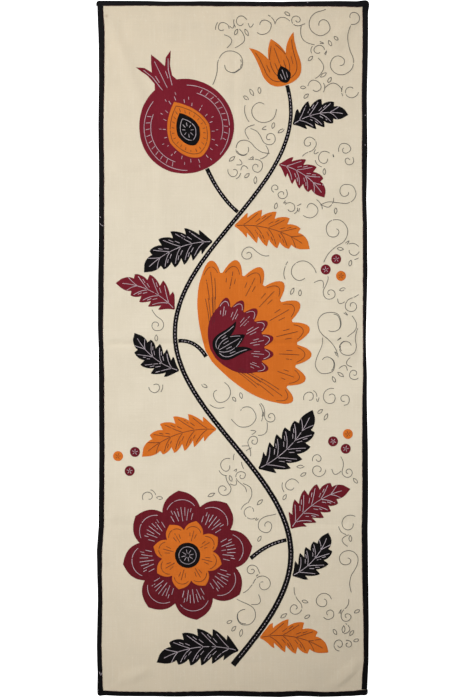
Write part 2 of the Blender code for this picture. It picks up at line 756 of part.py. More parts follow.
def flower_patches():
    spread = math.radians(FAN_SPREAD)
    middle_spread = math.radians(MIDDLE_SPREAD)
    patches = []

    def add(name, slot, outline, spot, turn, layer):
        patches.append((name, slot, placed(outline, spot[0], spot[1], turn), layer))

    rose = (ROSE_X, ROSE_Y)
    add("rose_petals", "maroon", rosette_outline(ROSE_RADIUS, ROSE_NOTCH, ROSE_POINT), rose, ROSE_TURN, 1)
    add("rose_ring", "orange", rosette_outline(RING_RADIUS, RING_NOTCH, RING_POINT), rose, RING_TURN, 2)
    add("rose_heart", "black", disc_outline(HEART_RADIUS, HEART_STEPS), rose, 0.0, 3)
    fan = fan_outline(FAN_RADIUS, spread, FAN_TEETH, FAN_BITE, FAN_NECK)
    add("carnation_fan", "orange", fan, (FAN_X, FAN_Y), FAN_TURN, 1)
    fan = fan_outline(MIDDLE_RADIUS, middle_spread, MIDDLE_TEETH, MIDDLE_BITE, MIDDLE_NECK)
    spot = forward(FAN_X, FAN_Y, FAN_TURN, MIDDLE_FORWARD)
    add("carnation_middle", "maroon", fan, spot, FAN_TURN, 2)
    spot = forward(FAN_X, FAN_Y, FAN_TURN, CUP_FORWARD)
    add("carnation_cup", "black", tulip_outline(CUP_LONG, CUP_WIDE), spot, FAN_TURN, 3)
    add("fruit_body", "maroon", fruit_outline(), (FRUIT_X, FRUIT_Y), FRUIT_TURN, 1)
    spot = forward(FRUIT_X, FRUIT_Y, FRUIT_TURN, FLESH_FORWARD)
    add("fruit_flesh", "orange", drop_outline(FLESH_LONG, FLESH_WIDE), spot, FRUIT_TURN, 2)
    spot = forward(FRUIT_X, FRUIT_Y, FRUIT_TURN, SEED_FORWARD)
    add("fruit_seed", "black", drop_outline(SEED_LONG, SEED_WIDE), spot, FRUIT_TURN, 3)
    bud = (vine_x(VINE_END) + BUD_ASIDE, VINE_END + BUD_GAP)
    add("bud_petals", "orange", tulip_outline(BUD_LONG, BUD_WIDE), bud, BUD_TURN, 1)
    spot = forward(bud[0], bud[1], BUD_TURN, BUD_CUP_FORWARD)
    add("bud_cup", "black", drop_outline(BUD_CUP_LONG, BUD_CUP_WIDE), spot, BUD_TURN, 2)
    return patches


def vine_patches():
    path = []
    for step in range(VINE_STEPS + 1):
        y = VINE_START + (VINE_END - VINE_START) * step / VINE_STEPS
        path.append((vine_x(y), y))
    patches = [("vine", "black", ribbon_outline(path, VINE_WIDE_START, VINE_WIDE_END), 1)]
    for row in STALKS:
        outline = ribbon_outline(stalk_path(row), STALK_WIDE_START, STALK_WIDE_END)
        patches.append((row["name"], "black", outline, 1))
    return patches


def leaf_patches():
    patches = []
    for row in LEAVES:
        x, y = vine_side(row["y"], row["side"], LEAF_FOOT)
        patches.append((row["name"], row["slot"], placed(leaf_outline(row), x, y, row["turn"]), 1))
    for row in BERRIES:
        outline = placed(disc_outline(BERRY_RADIUS, ROUND_STEPS), row["x"], row["y"], 0.0)
        patches.append((row["name"], row["slot"], outline, 1))
    return patches


def build_panel():
    clear_scene()
    rows = ground_grid()
    triangles = ground_triangles(rows)
    ground = [point for row in rows for point in row]
    low = [z for x, y, z in ground]
    high = [z + GROUND_THICK for z in low]
    sheet_solid("ground_cloth", "ground", [(x, y) for x, y, z in ground], triangles, low, high)
    side_binding("binding_left", -1, rows)
    side_binding("binding_right", 1, rows)
    end_binding("binding_bottom", -1, rows)
    end_binding("binding_top", 1, rows)
    for name, slot, outline, layer in vine_patches() + leaf_patches() + flower_patches():
        lay_patch(name, slot, outline, layer, rows, triangles)


build_panel()
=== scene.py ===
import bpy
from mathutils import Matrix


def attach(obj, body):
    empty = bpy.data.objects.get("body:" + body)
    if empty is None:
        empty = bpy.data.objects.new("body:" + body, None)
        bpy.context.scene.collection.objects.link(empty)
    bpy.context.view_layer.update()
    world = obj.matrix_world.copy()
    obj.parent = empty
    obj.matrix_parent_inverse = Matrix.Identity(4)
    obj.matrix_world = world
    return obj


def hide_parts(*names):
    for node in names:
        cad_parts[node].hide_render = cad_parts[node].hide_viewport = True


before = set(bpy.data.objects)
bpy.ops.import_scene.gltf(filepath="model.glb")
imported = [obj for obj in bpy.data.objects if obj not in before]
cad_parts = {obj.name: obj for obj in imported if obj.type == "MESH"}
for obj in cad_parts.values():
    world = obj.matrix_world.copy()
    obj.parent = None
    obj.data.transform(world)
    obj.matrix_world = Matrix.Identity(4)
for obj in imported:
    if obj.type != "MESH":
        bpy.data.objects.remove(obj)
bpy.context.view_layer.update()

import math
import random

import bpy
from mathutils import Vector, noise
from mathutils.geometry import delaunay_2d_cdt
from mathutils.kdtree import KDTree

# Applique panel lying flat, seen from straight above. X across, Y along its length, Z up.
# Sizes are in millimetres here and become metres when a mesh is made.
mm = 0.001
tiny = 1e-9


def rowsOf(keys, rows):
    # one dictionary for each row of a small table
    return tuple(dict(zip(keys.split(), row)) for row in rows)


panel = {
    "width": 510.0,
    "length": 1320.0,
    "thick": 1.1,
    "cell": 5.0,  # spacing of the mesh
    "edgeGap": 1.3,  # the ground stops short of the fold of the binding
    "edgeLift": 1.3,
    "liftedBand": 12.0,
    "sagWidth": 17.0,
    "edgeReach": 90.0,
    "waves": ((70.0, 0.34), (24.0, 0.14), (9.0, 0.04)),  # size and height of the slack in the cloth
}

creases = {
    "fade": 60.0,
    "nip": 0.3,  # the sharp line pressed into the bottom of each crease
    "nipHalf": 3.0,
}
# pressed creases: place, and the height and half width of the slope on each side
creaseAlong = {"at": 2.5, "high": 1.1, "half": 15.0}
creasesAcross = rowsOf("at high half", (
    (-334.0, 1.4, 16.0),
    (8.5, 3.2, 9.5),
    (335.0, 1.1, 17.0),
))

# measured in the photo: place along each side, and its outer edge from the middle or its binding's width
edges = {
    "left": (
        (-647.0, 257.5), (-615.0, 257.0), (-564.0, 258.5), (-478.0, 256.5), (-383.0, 258.5), (-336.0, 255.0),
        (-193.0, 254.0), (0.0, 255.0), (44.0, 256.5), (139.0, 256.0), (187.0, 255.0), (329.0, 254.5),
        (424.0, 255.5), (510.0, 254.5), (576.0, 255.0), (648.0, 257.5),
    ),
    "leftWide": (
        (-647.0, 12.0), (-642.0, 10.5), (-615.0, 9.5), (-431.0, 9.0), (-383.0, 10.5), (-51.0, 10.5),
        (16.0, 9.5), (92.0, 11.0), (424.0, 10.0), (548.0, 11.0), (612.0, 12.5), (631.0, 11.5), (648.0, 11.5),
    ),
    "right": (
        (-647.0, 255.0), (-592.0, 257.5), (-526.0, 258.0), (-336.0, 256.0), (-288.0, 257.0), (-193.0, 256.5),
        (-98.0, 254.5), (-51.0, 254.5), (16.0, 252.5), (139.0, 255.5), (234.0, 255.0), (282.0, 253.5),
        (377.0, 255.5), (472.0, 254.5), (597.0, 257.0), (631.0, 256.5), (641.0, 257.0), (648.0, 258.5),
    ),
    "rightWide": (
        (-647.0, 11.0), (-615.0, 11.0), (-592.0, 9.5), (-431.0, 12.0), (-193.0, 11.5), (16.0, 6.0),
        (139.0, 9.0), (282.0, 8.5), (377.0, 11.0), (424.0, 10.0), (637.0, 11.0), (648.0, 13.0),
    ),
    "top": (
        (-252.0, 660.5), (-157.0, 660.0), (-128.0, 659.0), (-62.0, 659.5), (90.0, 658.5), (195.0, 660.0),
        (235.0, 659.5), (252.0, 661.5), (256.0, 660.0),
    ),
    "topWide": (
        (-252.0, 10.5), (-100.0, 9.0), (-24.0, 10.0), (14.0, 9.5), (90.0, 9.5), (223.0, 11.5), (252.0, 12.5),
        (256.0, 11.0),
    ),
    "bottom": (
        (-252.0, 659.0), (-244.0, 658.0), (-214.0, 659.5), (-100.0, 660.5), (-24.0, 659.5), (90.0, 661.5),
        (128.0, 659.5), (166.0, 661.0), (223.0, 659.5), (242.0, 658.0), (256.0, 658.0),
    ),
    "bottomWide": (
        (-252.0, 10.5), (-244.0, 9.5), (-157.0, 9.0), (14.0, 11.0), (52.0, 10.0), (90.0, 11.0), (195.0, 9.5),
        (242.0, 10.5), (256.0, 11.5),
    ),
}

# soft folds where the cloth is dragged, then small puckers: the line's two ends, its height and half width
dragFolds = rowsOf("line high half", (
    ((-229.0, 607.0, -178.0, 476.0), 3.19, 22.0),
    ((-178.0, 476.0, -140.0, 375.0), 2.61, 24.0),
    ((-140.0, 375.0, -132.0, 210.0), 1.74, 26.0),
    ((232.0, 630.0, 190.0, 574.0), 2.3, 22.0),
    ((236.0, -600.0, 196.0, -638.0), 2.9, 20.0),
    ((-190.0, 608.0, 150.0, 602.0), 1.89, 20.0),
    ((-102.0, -386.0, -20.0, -430.0), 2.03, 24.0),
    ((-205.0, -628.0, -165.0, -612.0), 2.32, 16.0),
))
puckers = rowsOf("line high half", (
    ((209.0, 9.5, 234.5, 2.0), 0.7, 5.0),
    ((-219.0, -642.0, -206.0, -618.0), 0.9, 8.0),
    ((-192.0, -646.0, -186.0, -622.0), 0.8, 8.0),
    ((-168.0, -645.0, -160.0, -625.0), 0.7, 7.0),
    ((-232.0, 236.0, -212.0, 214.0), 0.6, 7.0),
    ((226.0, -330.0, 205.0, -352.0), 0.7, 8.0),
    ((246.0, -605.0, 205.0, -642.0), -1.5, 4.4),
    ((244.0, 641.0, 208.0, 600.0), -0.7, 5.0),
    ((-96.0, 640.0, -88.0, 615.0), 0.6, 9.0),
    ((96.0, 640.0, 104.0, 612.0), 0.6, 9.0),
))


def between(value, low, high):
    return max(low, min(high, value))


def smooth(share):
    s = between(share, 0.0, 1.0)
    return s * s * (3.0 - 2.0 * s)


def readEdge(name, at):
    # a value between two measured places, or the nearest one past the ends
    stops = edges[name]
    if at <= stops[0][0]:
        return stops[0][1]
    for (place0, value0), (place1, value1) in zip(stops, stops[1:]):
        if at <= place1:
            return value0 + (value1 - value0) * (at - place0) / (place1 - place0)
    return stops[-1][1]


def lineDistance(x, y, line):
    x0, y0, x1, y1 = line
    dx = x1 - x0
    dy = y1 - y0
    share = between(((x - x0) * dx + (y - y0) * dy) / (dx * dx + dy * dy), 0.0, 1.0)
    return math.hypot(x - x0 - share * dx, y - y0 - share * dy)


def creaseHeight(away, crease):
    if away < crease["half"]:
        return crease["high"] * smooth(away / crease["half"])
    return crease["high"] * (1.0 - smooth((away - crease["half"]) / creases["fade"]))


def foldHeight(x, y, fold):
    return fold["high"] * (1.0 - smooth(lineDistance(x, y, fold["line"]) / fold["half"]))


def slack(x, y):
    # low waves all over, always above the surface that the cloth lies on
    high = 0.0
    for size, swing in panel["waves"]:
        high += swing * (0.5 + 0.5 * noise.noise(Vector((x / size, y / size, size))))
    return high


def clothHeight(x, y):
    nearest = abs(x - creaseAlong["at"])
    high = creaseHeight(nearest, creaseAlong)
    for crease in creasesAcross:
        away = abs(y - crease["at"])
        nearest = min(nearest, away)
        high = max(high, creaseHeight(away, crease))
    high = max([high] + [foldHeight(x, y, fold) for fold in dragFolds])
    for fold in puckers:
        high += foldHeight(x, y, fold)
    return high + creases["nip"] * between(nearest / creases["nipHalf"], 0.0, 1.0) + slack(x, y)


def edgesAt(x, y):
    return -readEdge("left", y), readEdge("right", y), -readEdge("bottom", x), readEdge("top", x)


def groundUnder(x, y):
    left, right, bottom, top = edgesAt(x, y)
    inset = min(x - left, right - x, y - bottom, top - y)
    rise = 1.0 - smooth((inset - panel["liftedBand"]) / panel["sagWidth"])
    return clothHeight(x, y) * (1.0 - rise) + panel["edgeLift"] * rise


def groundTop(x, y):
    return groundUnder(x, y) + panel["thick"]


# materials

# far is the colour towards the ends; the maroon's and the binding's are painted shade, much darker at the
# bottom end
finishes = {
    "ground": {
        "colour": (0.735, 0.656, 0.515), "shade": (0.640, 0.560, 0.425),
        "light": (0.790, 0.715, 0.590), "far": (0.730, 0.620, 0.460), "pitch": 0.62,
        "bump": 0.20, "streak": 0.42, "mottle": 0.50, "rough": 0.92, "gloss": 0.20, "sheen": 0.04,
    },
    "maroon": {
        "colour": (0.186, 0.0115, 0.0235), "shade": (0.118, 0.0065, 0.0135),
        "light": (0.245, 0.026, 0.042), "far": (0.096, 0.0070, 0.0108), "pitch": 0.46,
        "bump": 0.14, "streak": 0.34, "mottle": 0.40, "rough": 0.88, "gloss": 0.10, "sheen": 0.01,
    },
    "orange": {
        "colour": (0.620, 0.154, 0.0165), "shade": (0.500, 0.108, 0.0105),
        "light": (0.715, 0.210, 0.032), "far": (0.632, 0.150, 0.0168), "pitch": 0.46,
        "bump": 0.14, "streak": 0.32, "mottle": 0.45, "rough": 0.88, "gloss": 0.12, "sheen": 0.01,
    },
    "black": {
        "colour": (0.0064, 0.0058, 0.0065), "shade": (0.0042, 0.0038, 0.0042),
        "light": (0.0140, 0.0134, 0.0144), "far": (0.0062, 0.0055, 0.0056), "pitch": 0.46,
        "bump": 0.16, "streak": 0.35, "mottle": 0.40, "rough": 0.92, "gloss": 0.05, "sheen": 0.0,
    },
    "binding": {
        "colour": (0.0094, 0.0088, 0.0098), "shade": (0.0050, 0.0047, 0.0052),
        "light": (0.0210, 0.0200, 0.0212), "far": (0.0024, 0.0022, 0.0024), "pitch": 0.50,
        "bump": 0.18, "streak": 0.42, "mottle": 0.50, "rough": 0.92, "gloss": 0.07, "sheen": 0.0,
    },
}
threadFinishes = {
    "pale_thread": {
        "colour": (0.66, 0.58, 0.62), "shade": (0.42, 0.35, 0.39), "rough": 0.66, "gloss": 0.30,
    },
    "brown_thread": {
        "colour": (0.052, 0.013, 0.016), "shade": (0.026, 0.007, 0.009), "rough": 0.65, "gloss": 0.25,
    },
    "grey_thread": {
        "colour": (0.100, 0.096, 0.086), "shade": (0.058, 0.056, 0.052), "rough": 0.75, "gloss": 0.20,
    },
}
# noise sizes are in lumps for each metre, and places on the cloth are in metres
weave = {
    "wander": (90.0, 90.0, 90.0),  # the threads don't run quite straight
    "wanderSwing": 1.1,
    "plump": 0.5,  # rounds the floats
    "gapWide": 0.7,
    "gapShade": 0.22,
    "overShare": 0.35,  # what the crossings and the slubs add to the relief
    "slubShare": 0.8,
    "fade": (0.45, -0.62),  # patches and binding turn to their far colour from here to here down the panel, painted shade on the maroon and binding
    "groundFade": (0.22, 0.64),  # the ground turns warmer and a little darker from its middle to its ends
}
clothNoise = {
    "warpSlub": {"scale": (800.0, 14.0, 1.0), "detail": 3.0},
    "weftSlub": {"scale": (14.0, 800.0, 1.0), "detail": 3.0},
    "mottle": {"scale": (16.0, 16.0, 16.0), "detail": 4.0},
    "specks": {"scale": (260.0, 260.0, 260.0), "detail": 2.0},
}
# tones laid over the plain colour: the noise and its range, the strength and the second colour
toneLayers = rowsOf("noise low high strength tone", (
    ("mottle", 0.35, 0.75, "mottle", "shade"),
    ("warpSlub", 0.50, 0.75, "streak", "light"),
    ("weftSlub", 0.50, 0.75, "streak", "shade"),
    ("specks", 0.58, 0.78, "streak", "light"),
))
twine = {
    "twist": 9000.0,
    "plies": (700.0, 700.0, 700.0),
    "plyShade": 0.4,
    "mottle": (60.0, 60.0, 60.0),
    "bump": 0.05,
}
spot = {"x": -0.240, "y": 0.631, "radius": 0.0045, "colour": (0.42, 0.29, 0.16), "amount": 0.6}
# painted shade along the pressed creases: its half width in metres and its strength
paintedCreaseShade = {"half": 0.004, "amount": 0.05}


def put(tree, value, socket):
    # a link where the value comes from another node, or else the socket's own value
    if isinstance(value, bpy.types.NodeSocket):
        tree.links.new(value, socket)
    elif isinstance(value, tuple):
        socket.default_value = (*value, 1.0)
    else:
        socket.default_value = value


def reckon(tree, operation, first, second=0.0):
    node = tree.nodes.new("ShaderNodeMath")
    node.operation = operation
    put(tree, first, node.inputs[0])
    put(tree, second, node.inputs[1])
    return node.outputs[0]


def spread(tree, value, low, high, toLow=0.0, toHigh=1.0):
    node = tree.nodes.new("ShaderNodeMapRange")
    put(tree, value, node.inputs["Value"])
    node.inputs["From Min"].default_value = low
    node.inputs["From Max"].default_value = high
    node.inputs["To Min"].default_value = toLow
    node.inputs["To Max"].default_value = toHigh
    return node.outputs["Result"]


def mixColours(tree, share, first, second):
    node = tree.nodes.new("ShaderNodeMix")
    node.data_type = "RGBA"
    put(tree, share, node.inputs["Factor"])
    put(tree, first, [s for s in node.inputs if s.name == "A" and s.type == "RGBA"][0])
    put(tree, second, [s for s in node.inputs if s.name == "B" and s.type == "RGBA"][0])
    return [s for s in node.outputs if s.type == "RGBA"][0]


def lumpNoise(tree, place, scale, detail):
    # noise whose lumps may be long one way: scale gives lumps for each metre along X, Y and Z
    mapping = tree.nodes.new("ShaderNodeMapping")
    mapping.inputs["Scale"].default_value = scale
    tree.links.new(place, mapping.inputs["Vector"])
    lumps = tree.nodes.new("ShaderNodeTexNoise")
    lumps.inputs["Scale"].default_value = 1.0
    lumps.inputs["Detail"].default_value = detail
    tree.links.new(mapping.outputs["Vector"], lumps.inputs["Vector"])
    return lumps.outputs["Fac"]


def startMaterial(name, look):
    material = bpy.data.materials.new(name)
    material.use_nodes = True
    tree = material.node_tree
    surface = tree.nodes["Principled BSDF"]
    surface.inputs["Roughness"].default_value = look["rough"]
    surface.inputs["Specular IOR Level"].default_value = look["gloss"]
    place = tree.nodes.new("ShaderNodeTexCoord").outputs["Object"]
    split = tree.nodes.new("ShaderNodeSeparateXYZ")
    tree.links.new(place, split.inputs[0])
    return material, tree, surface, place, split.outputs["X"], split.outputs["Y"]


def addBump(tree, surface, height, distance):
    bump = tree.nodes.new("ShaderNodeBump")
    bump.inputs["Strength"].default_value = 1.0
    bump.inputs["Distance"].default_value = distance
    tree.links.new(height, bump.inputs["Height"])
    tree.links.new(bump.outputs["Normal"], surface.inputs["Normal"])


def plainWeave(tree, place, x, y, pitch):
    # one thread over and one under: round floats parted by small gaps, drawn a little unevenly
    drift = reckon(tree, "MULTIPLY", lumpNoise(tree, place, weave["wander"], 2.0), weave["wanderSwing"])
    turn = math.pi / (pitch * mm)
    warp = reckon(tree, "SINE", reckon(tree, "ADD", reckon(tree, "MULTIPLY", x, turn), drift))
    weft = reckon(tree, "SINE", reckon(tree, "SUBTRACT", reckon(tree, "MULTIPLY", y, turn), drift))
    over = reckon(tree, "MULTIPLY", warp, weft)
    return over, reckon(tree, "POWER", reckon(tree, "ABSOLUTE", over), weave["plump"])


def clothMaterial(slot):
    look = finishes[slot]
    material, tree, surface, place, x, y = startMaterial(slot + "Cloth", look)
    surface.inputs["Sheen Weight"].default_value = look["sheen"]
    over, floats = plainWeave(tree, place, x, y, look["pitch"])
    lumps = {name: lumpNoise(tree, place, row["scale"], row["detail"]) for name, row in clothNoise.items()}
    if slot == "ground":
        fade = spread(tree, reckon(tree, "ABSOLUTE", y), *weave["groundFade"])
    else:
        fade = spread(tree, y, *weave["fade"])
    # towards the far colour down the panel: painted shade that darkens the maroon and the binding towards
    # the bottom
    colour = mixColours(tree, fade, look["colour"], look["far"])
    for row in toneLayers:
        share = spread(tree, lumps[row["noise"]], row["low"], row["high"], 0.0, look[row["strength"]])
        colour = mixColours(tree, share, colour, look[row["tone"]])
    # painted shade in the gaps between the floats
    gaps = spread(tree, floats, 0.0, weave["gapWide"], weave["gapShade"], 0.0)
    colour = mixColours(tree, gaps, colour, look["shade"])
    if slot == "ground":
        colour = creaseShadeAndStain(tree, colour, x, y, look)
    tree.links.new(colour, surface.inputs["Base Color"])
    height = reckon(tree, "ADD", floats, reckon(tree, "MULTIPLY", over, weave["overShare"]))
    for name in ("warpSlub", "weftSlub"):
        height = reckon(tree, "ADD", height, reckon(tree, "MULTIPLY", lumps[name], weave["slubShare"]))
    addBump(tree, surface, height, look["bump"] * mm)
    return material


def gapTo(tree, value, mark):
    return reckon(tree, "ABSOLUTE", reckon(tree, "SUBTRACT", value, mark))


def creaseShadeAndStain(tree, colour, x, y, look):
    # painted shade makes the pressed creases a little darker, and one corner has a small brown spot
    nearest = gapTo(tree, x, creaseAlong["at"] * mm)
    for crease in creasesAcross:
        nearest = reckon(tree, "MINIMUM", nearest, gapTo(tree, y, crease["at"] * mm))
    creaseShadeShare = spread(tree, nearest, 0.0, paintedCreaseShade["half"], paintedCreaseShade["amount"], 0.0)
    colour = mixColours(tree, creaseShadeShare, colour, look["shade"])
    gaps = (gapTo(tree, x, spot["x"]), gapTo(tree, y, spot["y"]))
    squares = [reckon(tree, "MULTIPLY", gap, gap) for gap in gaps]
    away = reckon(tree, "SQRT", reckon(tree, "ADD", *squares))
    share = spread(tree, away, 0.0, spot["radius"], spot["amount"], 0.0)
    return mixColours(tree, share, colour, spot["colour"])


def threadMaterial(name, look):
    material, tree, surface, place, x, y = startMaterial(name, look)
    turn = reckon(tree, "MULTIPLY", reckon(tree, "ADD", x, y), twine["twist"])
    plies = lumpNoise(tree, place, twine["plies"], 2.0)
    mottle = lumpNoise(tree, place, twine["mottle"], 2.0)
    colour = mixColours(tree, spread(tree, mottle, 0.3, 0.7), look["colour"], look["shade"])
    colour = mixColours(tree, spread(tree, plies, 0.45, 0.75, 0.0, twine["plyShade"]), colour, look["shade"])
    tree.links.new(colour, surface.inputs["Base Color"])
    addBump(tree, surface, reckon(tree, "ADD", reckon(tree, "SINE", turn), plies), twine["bump"] * mm)
    return material


materials = {slot: clothMaterial(slot) for slot in finishes}
for threadName, threadLook in threadFinishes.items():
    materials[threadName] = threadMaterial(threadName, threadLook)
print("Cottons and threads mixed:", len(materials))


# meshes

sharpEdge = math.radians(55.0)


def newPiece(name, slot, points, faces):
    mesh = bpy.data.meshes.new(name)
    mesh.from_pydata([(x * mm, y * mm, z * mm) for x, y, z in points], [], faces)
    mesh.materials.append(materials[slot])
    mesh.polygons.foreach_set("use_smooth", [True] * len(mesh.polygons))
    mesh.set_sharp_from_angle(angle=sharpEdge)
    mesh.update()
    piece = bpy.data.objects.new(name, mesh)
    bpy.context.scene.collection.objects.link(piece)
    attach(piece, "root")
    return piece


def closedSheet(flat, triangles, low, high):
    # underside, top and a wall round the rim
    count = len(flat)
    points = [(x, y, z) for level in (low, high) for (x, y), z in zip(flat, level)]
    faces = []
    sides = set()
    for a, b, c in triangles:
        faces.append((a + count, b + count, c + count))
        faces.append((c, b, a))
        sides.update(((a, b), (b, c), (c, a)))
    faces += [(a, b, b + count, a + count) for a, b in sorted(sides) if (b, a) not in sides]
    return points, faces


def spacedLines(stops, step):
    lines = []
    for low, high in zip(stops, stops[1:]):
        count = max(1, round((high - low) / step))
        lines.extend(low + (high - low) * i / count for i in range(count))
    lines.append(stops[-1])
    return lines


def edgeShift(line, half, low, high):
    # lines of the mesh near an edge follow it
    share = between(1.0 - (half - abs(line)) / panel["edgeReach"], 0.0, 1.0)
    return (low + half) * share if line < 0 else (high - half) * share


def groundCloth():
    halfX = panel["width"] / 2
    halfY = panel["length"] / 2
    nip = creases["nipHalf"]
    middle = creaseAlong["at"]
    xStops = [panel["edgeGap"] - halfX, middle - nip, middle, middle + nip, halfX - panel["edgeGap"]]
    yStops = [panel["edgeGap"] - halfY]
    for crease in creasesAcross:
        yStops += [crease["at"] - nip, crease["at"], crease["at"] + nip]
    yStops.append(halfY - panel["edgeGap"])
    xs = spacedLines(xStops, panel["cell"])
    ys = spacedLines(yStops, panel["cell"])
    flat = []
    for y in ys:
        for x in xs:
            left, right, bottom, top = edgesAt(x, y)
            flat.append((x + edgeShift(x, halfX, left, right), y + edgeShift(y, halfY, bottom, top)))
    triangles = []
    wide = len(xs)
    for j in range(len(ys) - 1):
        for a in range(j * wide, (j + 1) * wide - 1):
            triangles.append((a, a + 1, a + wide + 1))
            triangles.append((a, a + wide + 1, a + wide))
    low = [groundUnder(x, y) for x, y in flat]
    points, faces = closedSheet(flat, triangles, low, [z + panel["thick"] for z in low])
    piece = newPiece("ground_cloth_cotton", "ground", points, faces)
    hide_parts("ground_cloth")
    return piece


ground = groundCloth()
print("Ground cloth laid out:", len(ground.data.polygons), "faces")


# binding: a strip folded over each edge, its upper edge turned in and stitched down

binding = {
    "thick": 0.8,
    "fold": 1.65,  # radius of the fold round the cloth's edge
    "foldSteps": 8,
    "backLeg": 9.0,
    "step": 3.0,
    "crown": 0.22,
    "crownWave": 0.8,
    "crownWaveSize": 13.0,
    # the upper leg out to its turned-in edge: a share of the width and a distance back from it,
    # then a share of the crown and a distance down
    "upperLeg": (
        (0.36, 0.0, 0.8, 0.0), (0.62, 0.0, 1.0, 0.0), (1.0, 1.3, 0.6, 0.0), (1.0, 0.5, 0.0, 0.12),
        (1.0, 0.1, 0.0, 0.45), (1.0, 0.0, 0.0, 0.75), (1.0, 0.12, 0.0, 0.88),
    ),
    "edgeWave": 0.45,
    "edgeWaveSize": 9.0,
    "outerWave": 0.25,
    "outerWaveSize": 34.0,
    "calmEnd": 8.0,
    "gap": 0.06,
    "pastLeft": {"top": 1.9, "bottom": -0.3},  # how far the end strips pass the side strips
    "pastRight": {"top": 0.2, "bottom": 0.9},
    "cornerRound": 5.6,
    "cornerSteps": 6,
}


def wave(at, size, swing, seed):
    return swing * noise.noise(Vector((at / size, seed, 0.0)))


def bindingWidth(side, at):
    # the strips meet at the corners, where their edges are straight
    end = abs(edges[side + "Wide"][0][0])
    calm = smooth((end - binding["calmEnd"] - abs(at)) / binding["calmEnd"])
    stray = wave(at, binding["edgeWaveSize"], binding["edgeWave"], len(side + "Wide"))
    return readEdge(side + "Wide", at) + calm * stray


def bindingEdge(side, at):
    return readEdge(side, at) + wave(at, binding["outerWaveSize"], binding["outerWave"], len(side))


def bindingSection(wide, at):
    fold = binding["fold"]
    inner = fold - binding["thick"]
    crown = binding["crown"] * (1.0 + wave(at, binding["crownWaveSize"], binding["crownWave"], 5.0))
    turns = [math.pi * i / binding["foldSteps"] for i in range(binding["foldSteps"] + 1)]
    section = [(binding["backLeg"], 0.0)]
    section += [(fold * (1.0 - math.sin(a)), fold * (1.0 - math.cos(a))) for a in turns]
    for share, back, lift, drop in binding["upperLeg"]:
        section.append((wide * share - back, 2.0 * fold + crown * lift - drop))
    section.append((wide * 0.5, fold + inner))
    section += [(fold - inner * math.sin(a), fold - inner * math.cos(a)) for a in turns[::-1]]
    return section + [(binding["backLeg"], binding["thick"])]


def sweptStrip(name, sections):
    size = len(sections[0])
    last = (len(sections) - 1) * size
    points = [point for section in sections for point in section]
    faces = []
    for start in range(0, last, size):
        for k in range(size):
            a = start + k
            b = start + (k + 1) % size
            faces.append((a, b, b + size, a + size))
    faces.append(tuple(range(size))[::-1])
    faces.append(tuple(range(last, last + size)))
    # the sweep runs one way round on two sides of the panel and the other way on the rest
    if stripFacesIn(points, faces):
        faces = [face[::-1] for face in faces]
    piece = newPiece(name + "_cotton", "binding", points, faces)
    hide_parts(name)


def stripFacesIn(points, faces):
    volume = 0.0
    for face in faces:
        a = Vector(points[face[0]])
        for i in range(1, len(face) - 1):
            volume += a.dot(Vector(points[face[i]]).cross(Vector(points[face[i + 1]])))
    return volume < 0.0


def sideBinding(side):
    column = "left" if side < 0 else "right"
    corner = side * panel["width"] / 2
    ends = []
    for end in ("bottom", "top"):
        reach = max(binding["backLeg"], bindingWidth(end, corner))
        ends.append(readEdge(end, corner) - reach - binding["gap"])
    sections = []
    for y in spacedLines([-ends[0], ends[1]], binding["step"]):
        outer = bindingEdge(column, y)
        wide = bindingWidth(column, y)
        sections.append([(side * (outer - e), y, z) for e, z in bindingSection(wide, y)])
    sweptStrip("binding_" + column, sections)


def endBinding(side):
    column = "bottom" if side < 0 else "top"
    yLine = side * (panel["length"] / 2 - panel["edgeGap"])
    left = -readEdge("left", yLine) - binding["pastLeft"][column]
    right = readEdge("right", yLine) + binding["pastRight"][column]
    bend = binding["cornerRound"]
    corner = []
    for i in range(binding["cornerSteps"] + 1):
        a = 0.5 * math.pi * i / binding["cornerSteps"]
        corner.append((bend * (1.0 - math.sin(a)), bend * (1.0 - math.cos(a))))
    stations = [(left + reach, cut) for cut, reach in corner]
    stations += [(x, 0.0) for x in spacedLines([left + bend, right - bend], binding["step"])[1:-1]]
    stations += [(right - reach, cut) for cut, reach in corner[::-1]]
    sections = []
    for x, cut in stations:
        outer = bindingEdge(column, x) - cut
        wide = bindingWidth(column, x) - cut
        section = []
        for e, z in bindingSection(wide, x):
            inset = e - cut if e == binding["backLeg"] else e
            section.append((x, side * (outer - inset), z))
        sections.append(section)
    sweptStrip("binding_" + column, sections)


for side in (-1, 1):
    sideBinding(side)
    endBinding(side)
print("Edges bound on four sides")


# outlines of the patches, each in its own frame, pointing up from its foot

